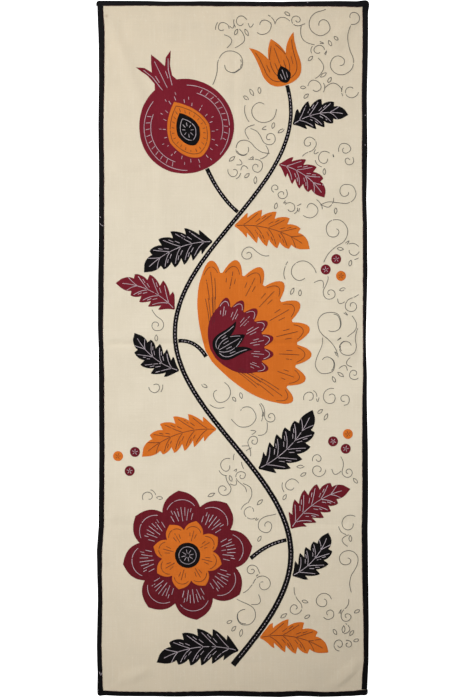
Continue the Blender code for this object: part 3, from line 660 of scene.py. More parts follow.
vine = {
    "swing": 110.0, "wave": 840.0, "from": -600.0, "to": 500.0, "steps": 170,
    "wideStart": 11.0, "wideEnd": 7.0,
}
stalks = rowsOf("name y side reach endX endY", (
    ("stalk_rose", -362.0, -1, 38.0, 33.6, -398.0),
    ("stalk_carnation", 14.0, 1, 34.0, -50.8, -15.2),
    ("stalk_fruit", 256.0, -1, 44.0, -49.4, 341.4),
))
stalk = {"wideStart": 7.0, "wideEnd": 8.0, "cutWide": 10.1, "steps": 16, "foot": 1.2}
leafRows = rowsOf("name slot y side turn long wide bend teeth bite", (
    ("leaf_01", "black", -578.0, -1, 72.0, 165.0, 70.0, -0.9, 6, 0.40),
    ("leaf_02", "orange", -545.0, 1, -76.0, 140.0, 64.0, 0.9, 5, 0.42),
    ("leaf_03", "black", -430.0, 1, -66.0, 112.0, 56.0, -0.9, 5, 0.42),
    ("leaf_04", "maroon", -345.0, 1, -30.0, 142.0, 64.0, 0.9, 6, 0.40),
    ("leaf_05", "black", -232.0, 1, -66.0, 158.0, 68.0, -0.8, 6, 0.40),
    ("leaf_06", "orange", -150.0, -1, 84.0, 158.0, 68.0, -0.9, 6, 0.40),
    ("leaf_07", "black", -40.0, -1, 76.0, 116.0, 56.0, 0.9, 5, 0.42),
    ("leaf_08", "maroon", 72.0, -1, 40.0, 128.0, 58.0, -0.9, 5, 0.42),
    ("leaf_09", "orange", 236.0, 1, -84.0, 156.0, 68.0, 0.8, 6, 0.40),
    ("leaf_10", "black", 200.0, -1, 88.0, 150.0, 68.0, -0.9, 6, 0.40),
    ("leaf_11", "black", 425.0, 1, -54.0, 112.0, 56.0, 0.9, 5, 0.42),
    ("leaf_12", "maroon", 352.0, 1, -100.0, 112.0, 54.0, 0.9, 5, 0.42),
))
leaf = {
    "foot": 0.8, "first": 0.02, "last": 0.93, "fullest": 0.45, "lean": 0.10, "footShare": 0.16,
    "footPower": 0.6, "fullness": 0.8, "toothPower": 0.8, "toothSteps": 7,
}
rose = {
    "x": -86.0, "y": -392.0, "petals": 8, "notchPower": 2.6, "pointPower": 3, "steps": 12,
    "outer": {"radius": 118.0, "notch": 0.20, "point": 0.05, "turn": 8.0},
    "ring": {"radius": 62.0, "notch": 0.22, "point": 0.08, "turn": 30.5},
    "heart": 24.0, "heartSteps": 60, "heartRing": 16.5, "heartSpokes": (8, 4.0, 11.5), "heartTurn": 12.0,
}
fan = {
    "x": -46.0, "y": -14.0, "turn": -60.0,
    "outer": {"radius": 200.0, "spread": 66.0, "teeth": 9, "bite": 0.14, "neck": 12.0},
    "middle": {"radius": 120.0, "spread": 54.0, "teeth": 7, "bite": 0.16, "neck": 9.0},
    "droop": 0.12, "hipOut": 0.5, "hipUp": 0.1, "lobeFrom": 0.10, "lobeSpan": 0.80,
    "toothFrom": 0.05, "toothSpan": 0.90, "steps": 9,
    "middleForward": 9.0, "cupForward": 14.0, "cup": (66.0, 56.0),  # length and width
}
fruit = {
    "x": -48.0, "y": 338.0, "turn": 26.0, "radius": 90.0, "crownHigh": 58.0, "crownGap": 0.26,
    "squash": 0.05, "steps": 90, "fleshForward": 29.0, "flesh": (116.0, 82.0),
    "seedForward": 53.5, "seed": (68.0, 44.0),
}
crown = rowsOf("out up", (
    (-0.80, 0.18), (-1.02, 0.52), (-1.60, 0.94), (-0.98, 0.80), (-0.60, 0.56), (-0.32, 0.84), (0.0, 1.10),
))
bud = {
    "turn": 20.0, "aside": 1.0, "gap": 1.2, "size": (92.0, 80.0), "cupForward": 3.6, "cup": (34.0, 26.0),
}
# half outlines from the foot to the tip, in shares of half the width and of the length
tulipRows = rowsOf("cx cy x y", (
    (0.95, 0.02, 0.97, 0.42), (0.96, 0.74, 1.12, 0.97), (0.66, 0.88, 0.44, 0.62), (0.34, 0.84, 0.0, 1.0),
))
dropRows = rowsOf("cx cy x y", ((0.75, 0.06, 1.0, 0.42), (0.95, 0.74, 0.0, 1.0)))
curve = {"tulipFoot": 0.14, "dropFoot": 0.05, "steps": 12}
berry = {"radius": 9.5, "steps": 32, "spokes": (5, 1.6, 5.6), "turnStep": 7.0}
berries = rowsOf("name slot x y", (
    ("berry_01", "maroon", -196.0, -232.0),
    ("berry_02", "orange", -218.0, -204.0),
    ("berry_03", "maroon", -186.0, -196.0),
    ("berry_04", "maroon", 176.0, 150.0),
    ("berry_05", "orange", 205.0, 138.0),
    ("berry_06", "maroon", 196.0, 170.0),
    ("berry_07", "maroon", 190.0, -176.0),
    ("berry_08", "orange", 218.0, -162.0),
    ("berry_09", "maroon", 214.0, -190.0),
))


def placed(points, x, y, turn):
    c = math.cos(math.radians(turn))
    s = math.sin(math.radians(turn))
    return [(x + px * c - py * s, y + px * s + py * c) for px, py in points]


def ahead(spot, away):
    # a place further along the way that the spot points
    return (*placed([(0.0, away)], *spot)[0], spot[2])


def bent(start, middle, end, u):
    rest = 1.0 - u
    return tuple(rest * rest * a + 2.0 * u * rest * b + u * u * c for a, b, c in zip(start, middle, end))


def along(points, count):
    return [points(i / count) for i in range(count + 1)]


def ribPoint(row, share, across):
    angle = row["bend"] * share
    x = row["long"] / row["bend"] * (1.0 - math.cos(angle))
    y = row["long"] / row["bend"] * math.sin(angle)
    return x + across * math.cos(angle), y - across * math.sin(angle)


def leafHalfWidth(row, share):
    bulge = share ** (math.log(0.5) / math.log(leaf["fullest"]))
    foot = min(1.0, share / leaf["footShare"]) ** leaf["footPower"]
    return 0.5 * row["wide"] * max(0.0, math.sin(math.pi * bulge)) ** leaf["fullness"] * foot


def leafOutline(row):
    sides = []
    span = (leaf["last"] - leaf["first"]) / row["teeth"]
    for side in (1, -1):
        points = []
        for tooth in range(row["teeth"]):
            for step in range(leaf["toothSteps"] + 1):
                u = step / leaf["toothSteps"]
                share = leaf["first"] + span * (tooth + u + leaf["lean"] * math.sin(math.pi * u))
                rise = max(0.0, math.sin(0.5 * math.pi * u)) ** leaf["toothPower"]
                swell = 1.0 - row["bite"] * (1.0 - rise) if tooth else 1.0
                points.append(ribPoint(row, share, side * leafHalfWidth(row, share) * swell))
        sides.append(points)
    return sides[0] + [ribPoint(row, 1.0, 0.0)] + sides[1][::-1]


def rosetteOutline(part):
    shape = rose[part]
    points = []
    half = math.pi / rose["petals"]
    for petal in range(rose["petals"]):
        for step in range(2 * rose["steps"]):
            d = step / rose["steps"] - 1.0
            swell = shape["point"] * (1.0 - abs(d)) ** rose["pointPower"]
            r = shape["radius"] * (1.0 - shape["notch"] * abs(d) ** rose["notchPower"] + swell)
            angle = 2.0 * half * petal + d * half
            points.append((r * math.sin(angle), r * math.cos(angle)))
    return points


def fanShape(part):
    return {**fan[part], "spread": math.radians(fan[part]["spread"])}


def fanRim(shape, u, tooth):
    # a place on the scalloped rim: distance from the neck and angle
    lobe = math.sin(math.pi * (fan["lobeFrom"] + fan["lobeSpan"] * u))
    low = math.sin(math.pi * fan["lobeFrom"])
    share = (tooth + fan["toothFrom"] + fan["toothSpan"] * u) / shape["teeth"]
    angle = shape["spread"] * (2.0 * share - 1.0)
    r = shape["radius"] * (1.0 - shape["bite"] * (1.0 - lobe) / (1.0 - low))
    return r * (1.0 - fan["droop"] * (angle / shape["spread"]) ** 2), angle


def fanOutline(shape):
    rim = []
    for tooth in range(shape["teeth"]):
        for step in range(fan["steps"] + 1):
            r, angle = fanRim(shape, step / fan["steps"], tooth)
            rim.append((r * math.sin(angle), r * math.cos(angle)))
    sides = []
    for sign, end in ((-1, rim[0]), (1, rim[-1])):
        hip = (sign * shape["radius"] * fan["hipOut"], shape["radius"] * fan["hipUp"])
        sides.append(along(lambda u: bent((sign * shape["neck"], 0.0), hip, end, u), 3 * fan["steps"])[:-1])
    return sides[0] + rim + sides[1][::-1]


def curveOutline(size, foot, rows):
    length, wide = size
    half = wide / 2
    side = [(foot * half, 0.0)]
    for row in rows:
        start = side[-1]
        middle = (row["cx"] * half, row["cy"] * length)
        end = (row["x"] * half, row["y"] * length)
        side += along(lambda u: bent(start, middle, end, u), curve["steps"])[1:]
    return side + [(-x, y) for x, y in side[:-1]][::-1]


def tulipOutline(size):
    return curveOutline(size, curve["tulipFoot"], tulipRows)


def dropOutline(size):
    return curveOutline(size, curve["dropFoot"], dropRows)


def discOutline(radius, steps):
    turns = [2.0 * math.pi * i / steps for i in range(steps)]
    return [(radius * math.sin(turn), radius * math.cos(turn)) for turn in turns]


def fruitOutline():
    points = []
    gap = fruit["crownGap"]
    radius = fruit["radius"]
    for step in range(fruit["steps"] + 1):
        angle = gap + (2.0 * math.pi - 2.0 * gap) * step / fruit["steps"]
        squash = 1.0 + fruit["squash"] * math.cos(angle)
        points.append((radius * math.sin(angle), radius * (1.0 + math.cos(angle) * squash)))
    x0, y0 = points[0]
    left = [(x0 * row["out"], y0 + fruit["crownHigh"] * row["up"]) for row in crown]
    return points + left + [(-x, y) for x, y in left[:-1]][::-1]


def ribbonOutline(path, wideStart, wideEnd):
    left = []
    right = []
    last = len(path) - 1
    for i, (x, y) in enumerate(path):
        ax, ay = path[max(i - 1, 0)]
        bx, by = path[min(i + 1, last)]
        run = math.hypot(bx - ax, by - ay)
        half = (wideStart + (wideEnd - wideStart) * i / last) / 2
        left.append((x - (by - ay) / run * half, y + (bx - ax) / run * half))
        right.append((x + (by - ay) / run * half, y - (bx - ax) / run * half))
    return right + left[::-1]


def vineX(y):
    return vine["swing"] * math.sin(2.0 * math.pi * (y - vine["from"]) / vine["wave"])


def vineSide(y, side, gap):
    slope = 2.0 * math.pi / vine["wave"]
    dx = vine["swing"] * slope * math.cos(slope * (y - vine["from"]))
    run = math.hypot(dx, 1.0)
    share = (y - vine["from"]) / (vine["to"] - vine["from"])
    away = (vine["wideStart"] + (vine["wideEnd"] - vine["wideStart"]) * share) / 2 + gap
    return vineX(y) + side * away / run, y - side * away * dx / run


def vinePath():
    length = vine["to"] - vine["from"]
    ys = [vine["from"] + length * i / vine["steps"] for i in range(vine["steps"] + 1)]
    return [(vineX(y), y) for y in ys]


def stalkPath(row):
    start = vineSide(row["y"], row["side"], stalk["foot"])
    middle = vineSide(row["y"], row["side"], row["reach"])
    return along(lambda u: bent(start, middle, (row["endX"], row["endY"]), u), stalk["steps"])


# patches: cotton with its edge turned under, so that the rim is round and a little thicker

patch = {
    "thick": 0.55,
    "gap": 0.05,
    "rimWall": 0.16,
    "rimRound": 0.9,
    "allowance": 3.6,  # width of the turned-under edge
    "allowanceFade": 1.8,
    "allowanceHigh": 0.20,
    "rings": ((0.3, 1), (0.9, 1), (2.6, 2), (4.8, 2)),  # depth, and 2 where every second point is used
    "ringRoom": 0.9,  # share of its depth that a ring keeps from the far side of a narrow place
    "cell": 5.0,
    "rowShare": 0.87,  # rows of free points are this much closer than the points in a row
    "crowd": 0.7,  # free points closer than this are left out
    "rimStep": 2.4,
    "handCut": 0.22,  # how far the cut wanders
    "handCutSize": 11.0,
    "feelStep": 0.4,
}
insideOnly = 1
mergeNear = 0.01


def signedArea(points):
    total = 0.0
    for (x0, y0), (x1, y1) in zip(points, points[1:] + points[:1]):
        total += x0 * y1 - x1 * y0
    return total / 2


def divided(outline, step):
    # a closed outline with its long straight stretches divided
    points = []
    for (x0, y0), (x1, y1) in zip(outline, outline[1:] + outline[:1]):
        count = max(1, math.ceil(math.hypot(x1 - x0, y1 - y0) / step))
        points += [(x0 + (x1 - x0) * i / count, y0 + (y1 - y0) * i / count) for i in range(count)]
    return points


def wandered(points, size, away, seed):
    # every point strays a little, and its neighbours with it
    moved = []
    for x, y in points:
        dx, dy = (noise.noise(Vector((x / size, y / size, layer))) for layer in (seed, seed + 6.0))
        moved.append((x + away * dx, y + away * dy))
    return moved


def nearestOf(points):
    # tells how far a place is from the nearest of these points
    tree = KDTree(len(points))
    for i, (x, y) in enumerate(points):
        tree.insert((x, y, 0.0), i)
    tree.balance()
    return lambda x, y: tree.find((x, y, 0.0))[2]


def cutByHand(outline):
    return wandered(divided(outline, patch["rimStep"]), patch["handCutSize"], patch["handCut"], 1.5)


def rimFinder(outline):
    return nearestOf(divided(outline, patch["feelStep"]))


def inward(outline, i):
    x0, y0 = outline[i - 1]
    x1, y1 = outline[(i + 1) % len(outline)]
    run = math.hypot(x1 - x0, y1 - y0) or 1.0
    return -(y1 - y0) / run, (x1 - x0) / run


def freePoints(outline, toRim):
    # points inside an outline: rings that follow the rim, then even rows
    taken = set()
    points = []

    def add(x, y):
        key = (round(x / patch["crowd"]), round(y / patch["crowd"]))
        if key not in taken:
            taken.add(key)
            points.append((x, y))

    for depth, stride in patch["rings"]:
        for i in range(0, len(outline), stride):
            nx, ny = inward(outline, i)
            x = outline[i][0] + nx * depth
            y = outline[i][1] + ny * depth
            if toRim(x, y) > patch["ringRoom"] * depth:
                add(x, y)
    cell = patch["cell"]
    clear = patch["rings"][-1][0] + 0.5 * cell
    xs, ys = zip(*outline)
    lowX = min(xs)
    lowY = min(ys)
    for j in range(math.ceil((max(ys) - lowY) / (cell * patch["rowShare"]))):
        for i in range(math.ceil((max(xs) - lowX) / cell)):
            x = lowX + (i + 0.5 * (j % 2)) * cell
            y = lowY + j * cell * patch["rowShare"]
            if toRim(x, y) > clear:
                add(x, y)
    return points


def levelLift(level):
    # how far the underside of a patch on this level lies above the ground's face
    return patch["gap"] + (level - 1) * (patch["thick"] + patch["gap"])


def rimProfile(away):
    share = between(away / patch["rimRound"], 0.0, 1.0)
    high = patch["rimWall"] + (patch["thick"] - patch["rimWall"]) * math.sqrt(1.0 - (1.0 - share) ** 2)
    ridge = 1.0 - smooth((away - patch["allowance"]) / patch["allowanceFade"])
    return high + patch["allowanceHigh"] * ridge * share


patchCuts = []


def sewPatch(name, slot, outline, level):
    area = signedArea(outline)
    outline = cutByHand(outline if area > 0.0 else outline[::-1])
    toRim = rimFinder(outline)
    verts = [Vector(point) for point in outline + freePoints(outline, toRim)]
    cut = delaunay_2d_cdt(verts, [], [list(range(len(outline)))], insideOnly, mergeNear, True)
    inside = [face for face, owners in zip(cut[2], cut[5]) if owners]
    used = sorted({i for face in inside for i in face})
    order = {old: new for new, old in enumerate(used)}
    flatPoints = [(cut[0][i].x, cut[0][i].y) for i in used]
    triangles = [tuple(order[i] for i in face) for face in inside]
    low = [groundTop(x, y) + levelLift(level) for x, y in flatPoints]
    high = [z + rimProfile(toRim(x, y)) for z, (x, y) in zip(low, flatPoints)]
    piece = newPiece(name + "_cotton", slot, *closedSheet(flatPoints, triangles, low, high))
    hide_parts(name)
    patchCuts.append({"slot": slot, "outline": outline, "level": level, "piece": piece.name})


def sewStrip(name, path, shape):
    outline = ribbonOutline(path, shape["wideStart"], shape["wideEnd"])
    sewPatch(name, "black", outline, 1)


def sewVine():
    sewStrip("vine", vinePath(), vine)
    for row in stalks:
        sewStrip(row["name"], stalkPath(row), stalk)


def leafSpot(row):
    return (*vineSide(row["y"], row["side"], leaf["foot"]), row["turn"])


def sewLeaves():
    for row in leafRows:
        sewPatch(row["name"], row["slot"], placed(leafOutline(row), *leafSpot(row)), 1)
    disc = discOutline(berry["radius"], berry["steps"])
    for row in berries:
        sewPatch(row["name"], row["slot"], placed(disc, row["x"], row["y"], 0.0), 1)


fanSpot = (fan["x"], fan["y"], fan["turn"])
fruitSpot = (fruit["x"], fruit["y"], fruit["turn"])
budSpot = (vineX(vine["to"]) + bud["aside"], vine["to"] + bud["gap"], bud["turn"])
spots = {
    "petals": (rose["x"], rose["y"], rose["outer"]["turn"]),
    "ring": (rose["x"], rose["y"], rose["ring"]["turn"]),
    "heart": (rose["x"], rose["y"], 0.0),
    "heartLines": (rose["x"], rose["y"], rose["heartTurn"]),
    "fan": fanSpot,
    "middle": ahead(fanSpot, fan["middleForward"]),
    "cup": ahead(fanSpot, fan["cupForward"]),
    "fruit": fruitSpot,
    "flesh": ahead(fruitSpot, fruit["fleshForward"]),
    "seed": ahead(fruitSpot, fruit["seedForward"]),
    "bud": budSpot,
    "budCup": ahead(budSpot, bud["cupForward"]),
}


def sewFlowers():
    heart = discOutline(rose["heart"], rose["heartSteps"])
    # name, cotton, level, outline, spot, and the angle of its grain
    rows = (
        ("rose_petals", "maroon", 1, rosetteOutline("outer"), "petals", 0.0),
        ("rose_ring", "orange", 2, rosetteOutline("ring"), "ring", 0.0),
        ("rose_heart", "black", 3, heart, "heart", 0.0),
        ("carnation_fan", "orange", 1, fanOutline(fanShape("outer")), "fan", fan["turn"]),
        ("carnation_middle", "maroon", 2, fanOutline(fanShape("middle")), "middle", fan["turn"]),
        ("carnation_cup", "black", 3, tulipOutline(fan["cup"]), "cup", fan["turn"]),
        ("fruit_body", "maroon", 1, fruitOutline(), "fruit", fruit["turn"]),
        ("fruit_flesh", "orange", 2, dropOutline(fruit["flesh"]), "flesh", fruit["turn"]),
        ("fruit_seed", "black", 3, dropOutline(fruit["seed"]), "seed", fruit["turn"]),
        ("bud_petals", "orange", 1, tulipOutline(bud["size"]), "bud", bud["turn"]),
        ("bud_cup", "black", 2, dropOutline(bud["cup"]), "budCup", bud["turn"]),
    )
    for name, slot, level, outline, spot, grain in rows:
        sewPatch(name, slot, placed(outline, *spots[spot]), level)


sewVine()
sewLeaves()
sewFlowers()
print("Patches sewn down:", len(patchCuts))


# hand stitches: every stitch is a short thread that dips into the cloth at both ends

stitch = {
    "seed": 41,
    "sides": 5,
    # rings of each stitch: share of its length, share of its radius, and height in radii
    "rings": ((0.0, 0.35, -0.35), (0.22, 1.0, 0.45), (0.78, 1.0, 0.45), (1.0, 0.35, -0.35)),
    "stray": 0.14,
    "overlapStray": 0.4,
    "lead": 0.5,  # share of the overlap at the far end of a stitch
    "tackRadius": 0.42,
}
slip = {
    "pitch": 5.0,
    "radius": 0.24,
    "out": 0.45,  # from the rim out on the cloth below, and in over the turned edge
    "in": 1.15,
    "lean": 0.35,
    "leans": (0.6, 1.4),
}
hem = {
    "pitch": 2.8,
    "radius": 0.30,
    "stray": 0.8,
    "in": 0.7,  # from the strip's edge in on the ground, and out on the strip
    "out": 0.9,
    "lean": 0.8,
    "sides": (("left", -1, 640.0), ("right", 1, 640.0), ("bottom", -1, 242.0), ("top", 1, 242.0)),
}
threadSlots = {"pale": "pale_thread", "brown": "brown_thread", "grey": "grey_thread", "tacks": "pale_thread"}
lineThreads = {"maroon": "pale", "black": "pale", "orange": "brown"}
# lines of stitches: spacing, radius, how far each passes the next, and the share worn away
stitchLines = {
    "stem": {"pitch": 2.7, "radius": 0.56, "overlap": 0.28, "missing": 0.02},
    "fine": {"pitch": 2.5, "radius": 0.50, "overlap": 0.28, "missing": 0.02},
    "running": {"pitch": 6.5, "radius": 0.50, "overlap": -0.20, "missing": 0.0},
    "scroll": {"pitch": 2.6, "radius": 0.68, "overlap": 0.26, "missing": 0.015},
}
threads = {}
hand = random.Random(stitch["seed"])


def threadPile(name):
    return threads.setdefault(name, {"points": [], "faces": []})


def addStitch(pile, start, end, radius):
    (x0, y0, z0), (x1, y1, z1) = start, end
    run = math.hypot(x1 - x0, y1 - y0)
    if run < radius:
        return
    sideX = -(y1 - y0) / run
    sideY = (x1 - x0) / run
    sides = stitch["sides"]
    first = len(pile["points"])
    for share, thick, high in stitch["rings"]:
        for k in range(sides):
            a = 2.0 * math.pi * k / sides
            out = radius * thick * math.cos(a)
            up = radius * thick * math.sin(a)
            x = x0 + (x1 - x0) * share + sideX * out
            y = y0 + (y1 - y0) * share + sideY * out
            pile["points"].append((x, y, z0 + (z1 - z0) * share + radius * high + up))
    last = len(pile["points"]) - sides
    for ring in range(first, last, sides):
        for k in range(sides):
            a = ring + k
            b = ring + (k + 1) % sides
            pile["faces"].append((a, b, b + sides, a + sides))
    pile["faces"].append(tuple(range(first, first + sides))[::-1])
    pile["faces"].append(tuple(range(last, last + sides)))


def walk(path, pitch):
    # points evenly spaced along a path
    lengths = [0.0]
    for (ax, ay), (bx, by) in zip(path, path[1:]):
        lengths.append(lengths[-1] + math.hypot(bx - ax, by - ay))
    count = max(1, round(lengths[-1] / pitch))
    points = []
    k = 0
    for i in range(count + 1):
        at = lengths[-1] * i / count
        while k < len(path) - 2 and lengths[k + 1] < at:
            k += 1
        share = (at - lengths[k]) / max(lengths[k + 1] - lengths[k], tiny)
        (ax, ay), (bx, by) = path[k], path[k + 1]
        points.append((ax + (bx - ax) * share, ay + (by - ay) * share))
    return points


def faceHeight(x, y, level):
    if level == 0:
        return groundTop(x, y)
    return groundTop(x, y) + levelLift(level) + patch["thick"]


def onFace(x, y, level):
    return x, y, faceHeight(x, y, level)


def stitchLine(name, path, level, kind):
    look = stitchLines[kind]
    pile = threadPile(name)
    points = walk(path, look["pitch"])
    for (ax, ay), (bx, by) in zip(points, points[1:]):
        if hand.random() < look["missing"]:
            continue
        reach = look["overlap"] * (1.0 + stitch["overlapStray"] * hand.uniform(-1.0, 1.0))
        strayX = stitch["stray"] * hand.uniform(-1.0, 1.0)
        strayY = stitch["stray"] * hand.uniform(-1.0, 1.0)
        lead = reach * stitch["lead"]
        start = onFace(ax - (bx - ax) * reach + strayX, ay - (by - ay) * reach + strayY, level)
        end = onFace(bx + (bx - ax) * lead - strayX, by + (by - ay) * lead - strayY, level)
        addStitch(pile, start, end, look["radius"])


def slipStitches(cutRow):
    # short stitches over the turned edge, in the patch's own colour
    pile = threadPile(cutRow["slot"])
    points = walk(cutRow["outline"] + cutRow["outline"][:1], slip["pitch"])
    count = len(points) - 1
    for i, (x, y) in enumerate(points[:-1]):
        bx, by = points[(i + 1) % count]
        run = math.hypot(bx - x, by - y) or 1.0
        nx, ny = -(by - y) / run, (bx - x) / run
        lean = slip["lean"] * hand.uniform(*slip["leans"])
        start = onFace(x - nx * slip["out"], y - ny * slip["out"], cutRow["level"] - 1)
        end = onFace(x + nx * slip["in"] + ny * lean, y + ny * slip["in"] - nx * lean, cutRow["level"])
        addStitch(pile, start, (*end[:2], end[2] + patch["allowanceHigh"]), slip["radius"])


def hemStitches():
    # slip stitches in wine-coloured thread along the inner edge of the binding
    pile = threadPile("maroon")
    low = panel["edgeLift"] + panel["thick"]
    top = 2.0 * binding["fold"]
    for column, side, reach in hem["sides"]:
        for place in spacedLines([-reach, reach], hem["pitch"]):
            at = place + hand.uniform(-hem["stray"], hem["stray"])
            edge = bindingEdge(column, at) - bindingWidth(column, at)
            ends = [(side * (edge - hem["in"]), at), (side * (edge + hem["out"]), at + hem["lean"])]
            if column in ("bottom", "top"):
                ends = [end[::-1] for end in ends]
            addStitch(pile, (*ends[0], low), (*ends[1], top), hem["radius"])


# loose white tacking stitches left on the binding, from end to end
tacks = (
    (-252.6, 250.4, -250.8, 248.6), (-252.8, 238.6, -249.6, 234.2), (-249.6, 234.2, -245.2, 232.2),
    (140.6, 656.6, 142.8, 655.6), (250.6, 443.6, 251.6, 441.6), (250.4, 387.0, 251.2, 385.0),
    (-253.7, -613.0, -250.4, -620.0), (-250.4, -620.0, -247.9, -614.0),
)


def tackingStitches():
    pile = threadPile("tacks")
    top = 2.0 * binding["fold"] + binding["crown"]
    for x0, y0, x1, y1 in tacks:
        addStitch(pile, (x0, y0, top), (x1, y1, top), stitch["tackRadius"])


# lines worked on the patches

# a leaf has a rib and a vein to each tooth, with short strokes in front of it like a pen's hatching:
# where a stroke starts on the vein, its span, and how far in front it lies
leafWork = {
    "ribFrom": 0.05, "ribSpan": 0.85, "veinFrom": -0.45, "veinTo": 0.72, "lastTo": 0.42, "veinWide": 0.78,
    "alongPower": 0.8, "acrossPower": 1.15, "strokes": ((0.36, 0.26, -0.40), (0.62, 0.24, -0.24)),
    "ribSteps": 20, "veinSteps": 9, "strokeSteps": 3,
}
# a petal has an arch inside its rim, a rib, a line on each side of it and short strokes:
# where a stroke starts and its span, out from the middle and then across
petalWork = {
    "arch": {"high": 0.90, "span": 1.44, "power": 2.2, "steps": 16},
    "rib": {"from": 0.12, "span": 0.88, "far": 0.78, "steps": 6},
    "flank": {"gap": 5.0, "far": 0.70, "from": 0.30, "span": 0.10, "steps": 5},
    "outer": ((0.64, 0.13, 0.19, 0.02), (0.58, 0.10, 0.62, 0.05), (0.70, 0.06, 0.52, 0.03)),
    "ring": ((0.56, 0.14, 0.34, 0.03),),
    "heartGap": 2.0,
}
# a fan has rays from the patch on it to its lobes, and an arc in each lobe:
# where on the lobe a ray points, and the shares of the way that it runs between
fanWork = {
    "outer": (
        (0.5, 0.0, 0.88), (0.0, 0.05, 0.74), (0.26, 0.55, 0.84), (0.74, 0.55, 0.84),
        (0.15, 0.08, 0.66), (0.85, 0.08, 0.66), (0.36, 0.12, 0.62), (0.64, 0.12, 0.62),
    ),
    "middle": ((0.5, 0.0, 0.84), (0.0, 0.0, 0.70), (0.26, 0.3, 0.80), (0.74, 0.3, 0.80)),
    "outerGap": 14.0, "middleGap": 8.0,
    "beside": 0.45,  # rays beside the patch on the fan start nearer the neck
    "shortest": 6.0, "lean": 0.84,
    "lobeFrom": 0.14, "lobeSpan": 0.72, "lobeFar": 0.935, "raySteps": 6, "lobeSteps": 9,
}
# shares of half the width and of the length: bends with their steps, then straight strokes
tulipWork = {
    "rib": (0.14, 0.46, 0.80),
    "bends": (
        (((0.20, 0.10), (0.78, 0.14), (0.78, 0.46), (0.80, 0.70), (0.92, 0.84)), (8, 6)),
        (((0.10, 0.12), (0.52, 0.30), (0.40, 0.56)), (8,)),
        (((0.40, 0.60), (0.26, 0.76), (0.10, 0.86)), (6,)),
    ),
    "strokes": (((0.58, 0.36), (0.62, 0.52)), ((0.20, 0.34), (0.22, 0.50))),
}
fruitWork = {
    "rings": ((0.90, 0.46, 2.70), (0.76, 0.74, 2.36)),  # share of the radius, first and last angle
    "ringSteps": 24,
    "rungs": 10, "rungStep": 0.165, "rungFrom": (0.785, 0.82), "rungTo": (0.865, 0.84),
    "crown": (((0.45, -0.10), (0.72, 0.40), (1.12, 0.74)), ((0.40, 0.16), (0.46, 0.40))),
    "crownRib": (-0.10, 0.40, 0.84),
}
# lines that follow a drop: the ring's share of its size, then the count of spokes and their ends
dropWork = {
    "middle": 0.46, "step": 2.0, "rays": (0.0, 20, 1.08, 1.20), "farRays": (0.0, 14, 1.29, 1.37),
    "flesh": (0.86, 22, 0.68, 0.79), "seed": (0.66, 8, 0.26, 0.48),
}
cupLines = (((0.0, 6.0), (0.0, 26.0)), ((5.0, 9.0), (6.0, 19.0)), ((-5.0, 9.0), (-6.0, 19.0)))


def leafLines(row):
    def rib(u):
        return ribPoint(row, leafWork["ribFrom"] + leafWork["ribSpan"] * u, 0.0)

    lines = [along(rib, leafWork["ribSteps"])]
    span = (leaf["last"] - leaf["first"]) / row["teeth"]
    for side in (1, -1):
        for tooth in range(1, row["teeth"]):
            far = leafWork["veinTo"] if tooth < row["teeth"] - 1 else leafWork["lastTo"]
            s0 = leaf["first"] + span * (tooth + leafWork["veinFrom"])
            s1 = leaf["first"] + span * (tooth + far)
            wide = side * leafHalfWidth(row, s1) * leafWork["veinWide"]

            def vein(u, shift=0.0):
                share = s0 + (s1 - s0) * u ** leafWork["alongPower"] + span * shift
                return ribPoint(row, share, wide * u ** leafWork["acrossPower"])

            lines.append(along(vein, leafWork["veinSteps"])[1:])
            if 1 < tooth < row["teeth"] - 1:
                for start, reach, shift in leafWork["strokes"]:
                    stroke = along(lambda u: vein(start + reach * u, shift), leafWork["strokeSteps"])
                    lines.append(stroke)
    return lines


def rosetteLines(part, inner):
    radius = rose[part]["radius"]
    arch, rib, flank = petalWork["arch"], petalWork["rib"], petalWork["flank"]
    lines = []
    half = math.pi / rose["petals"]
    for petal in range(rose["petals"]):
        middle = 2.0 * half * petal

        def at(r, d):
            return r * math.sin(middle + d * half), r * math.cos(middle + d * half)

        def archPlace(u):
            d = arch["span"] * u - arch["span"] / 2
            return at(radius * (arch["high"] - rose[part]["notch"] * abs(d) ** arch["power"]), d)

        def ribPlace(u):
            return at(inner + (rib["far"] * radius - inner) * (rib["from"] + rib["span"] * u), 0.0)

        def flankPlace(u):
            r = inner + flank["gap"] + (flank["far"] * radius - inner) * u
            return at(r, side * (flank["from"] + flank["span"] * u))

        lines += [along(archPlace, arch["steps"]), along(ribPlace, rib["steps"])]
        for side in (1, -1):
            if part == "outer":
                lines.append(along(flankPlace, flank["steps"]))
            for r, reach, d, swing in petalWork[part]:
                ends = ((r, d), (r + reach / 2, d + swing / 2), (r + reach, d + swing))
                lines.append([at(radius * far, side * wide) for far, wide in ends])
    return lines


def fanLines(part, inner, clear):
    shape = fanShape(part)
    lines = []
    for tooth in range(shape["teeth"]):
        for u0, near, far in fanWork[part]:
            if tooth == 0 and u0 == 0.0:
                continue
            r, angle = fanRim(shape, u0, tooth)
            start = inner if abs(angle) < clear else fanWork["beside"] * inner
            reach = min(r, shape["radius"]) * far
            start += near * (reach - start)
            if reach - start < fanWork["shortest"]:
                continue

            def ray(u):
                away = start + (reach - start) * u
                swing = angle * (fanWork["lean"] + (1.0 - fanWork["lean"]) * away / reach)
                return away * math.sin(swing), away * math.cos(swing)

            lines.append(along(ray, fanWork["raySteps"]))

        def lobe(u):
            r, angle = fanRim(shape, fanWork["lobeFrom"] + fanWork["lobeSpan"] * u, tooth)
            return fanWork["lobeFar"] * r * math.sin(angle), fanWork["lobeFar"] * r * math.cos(angle)

        lines.append(along(lobe, fanWork["lobeSteps"]))
    return lines


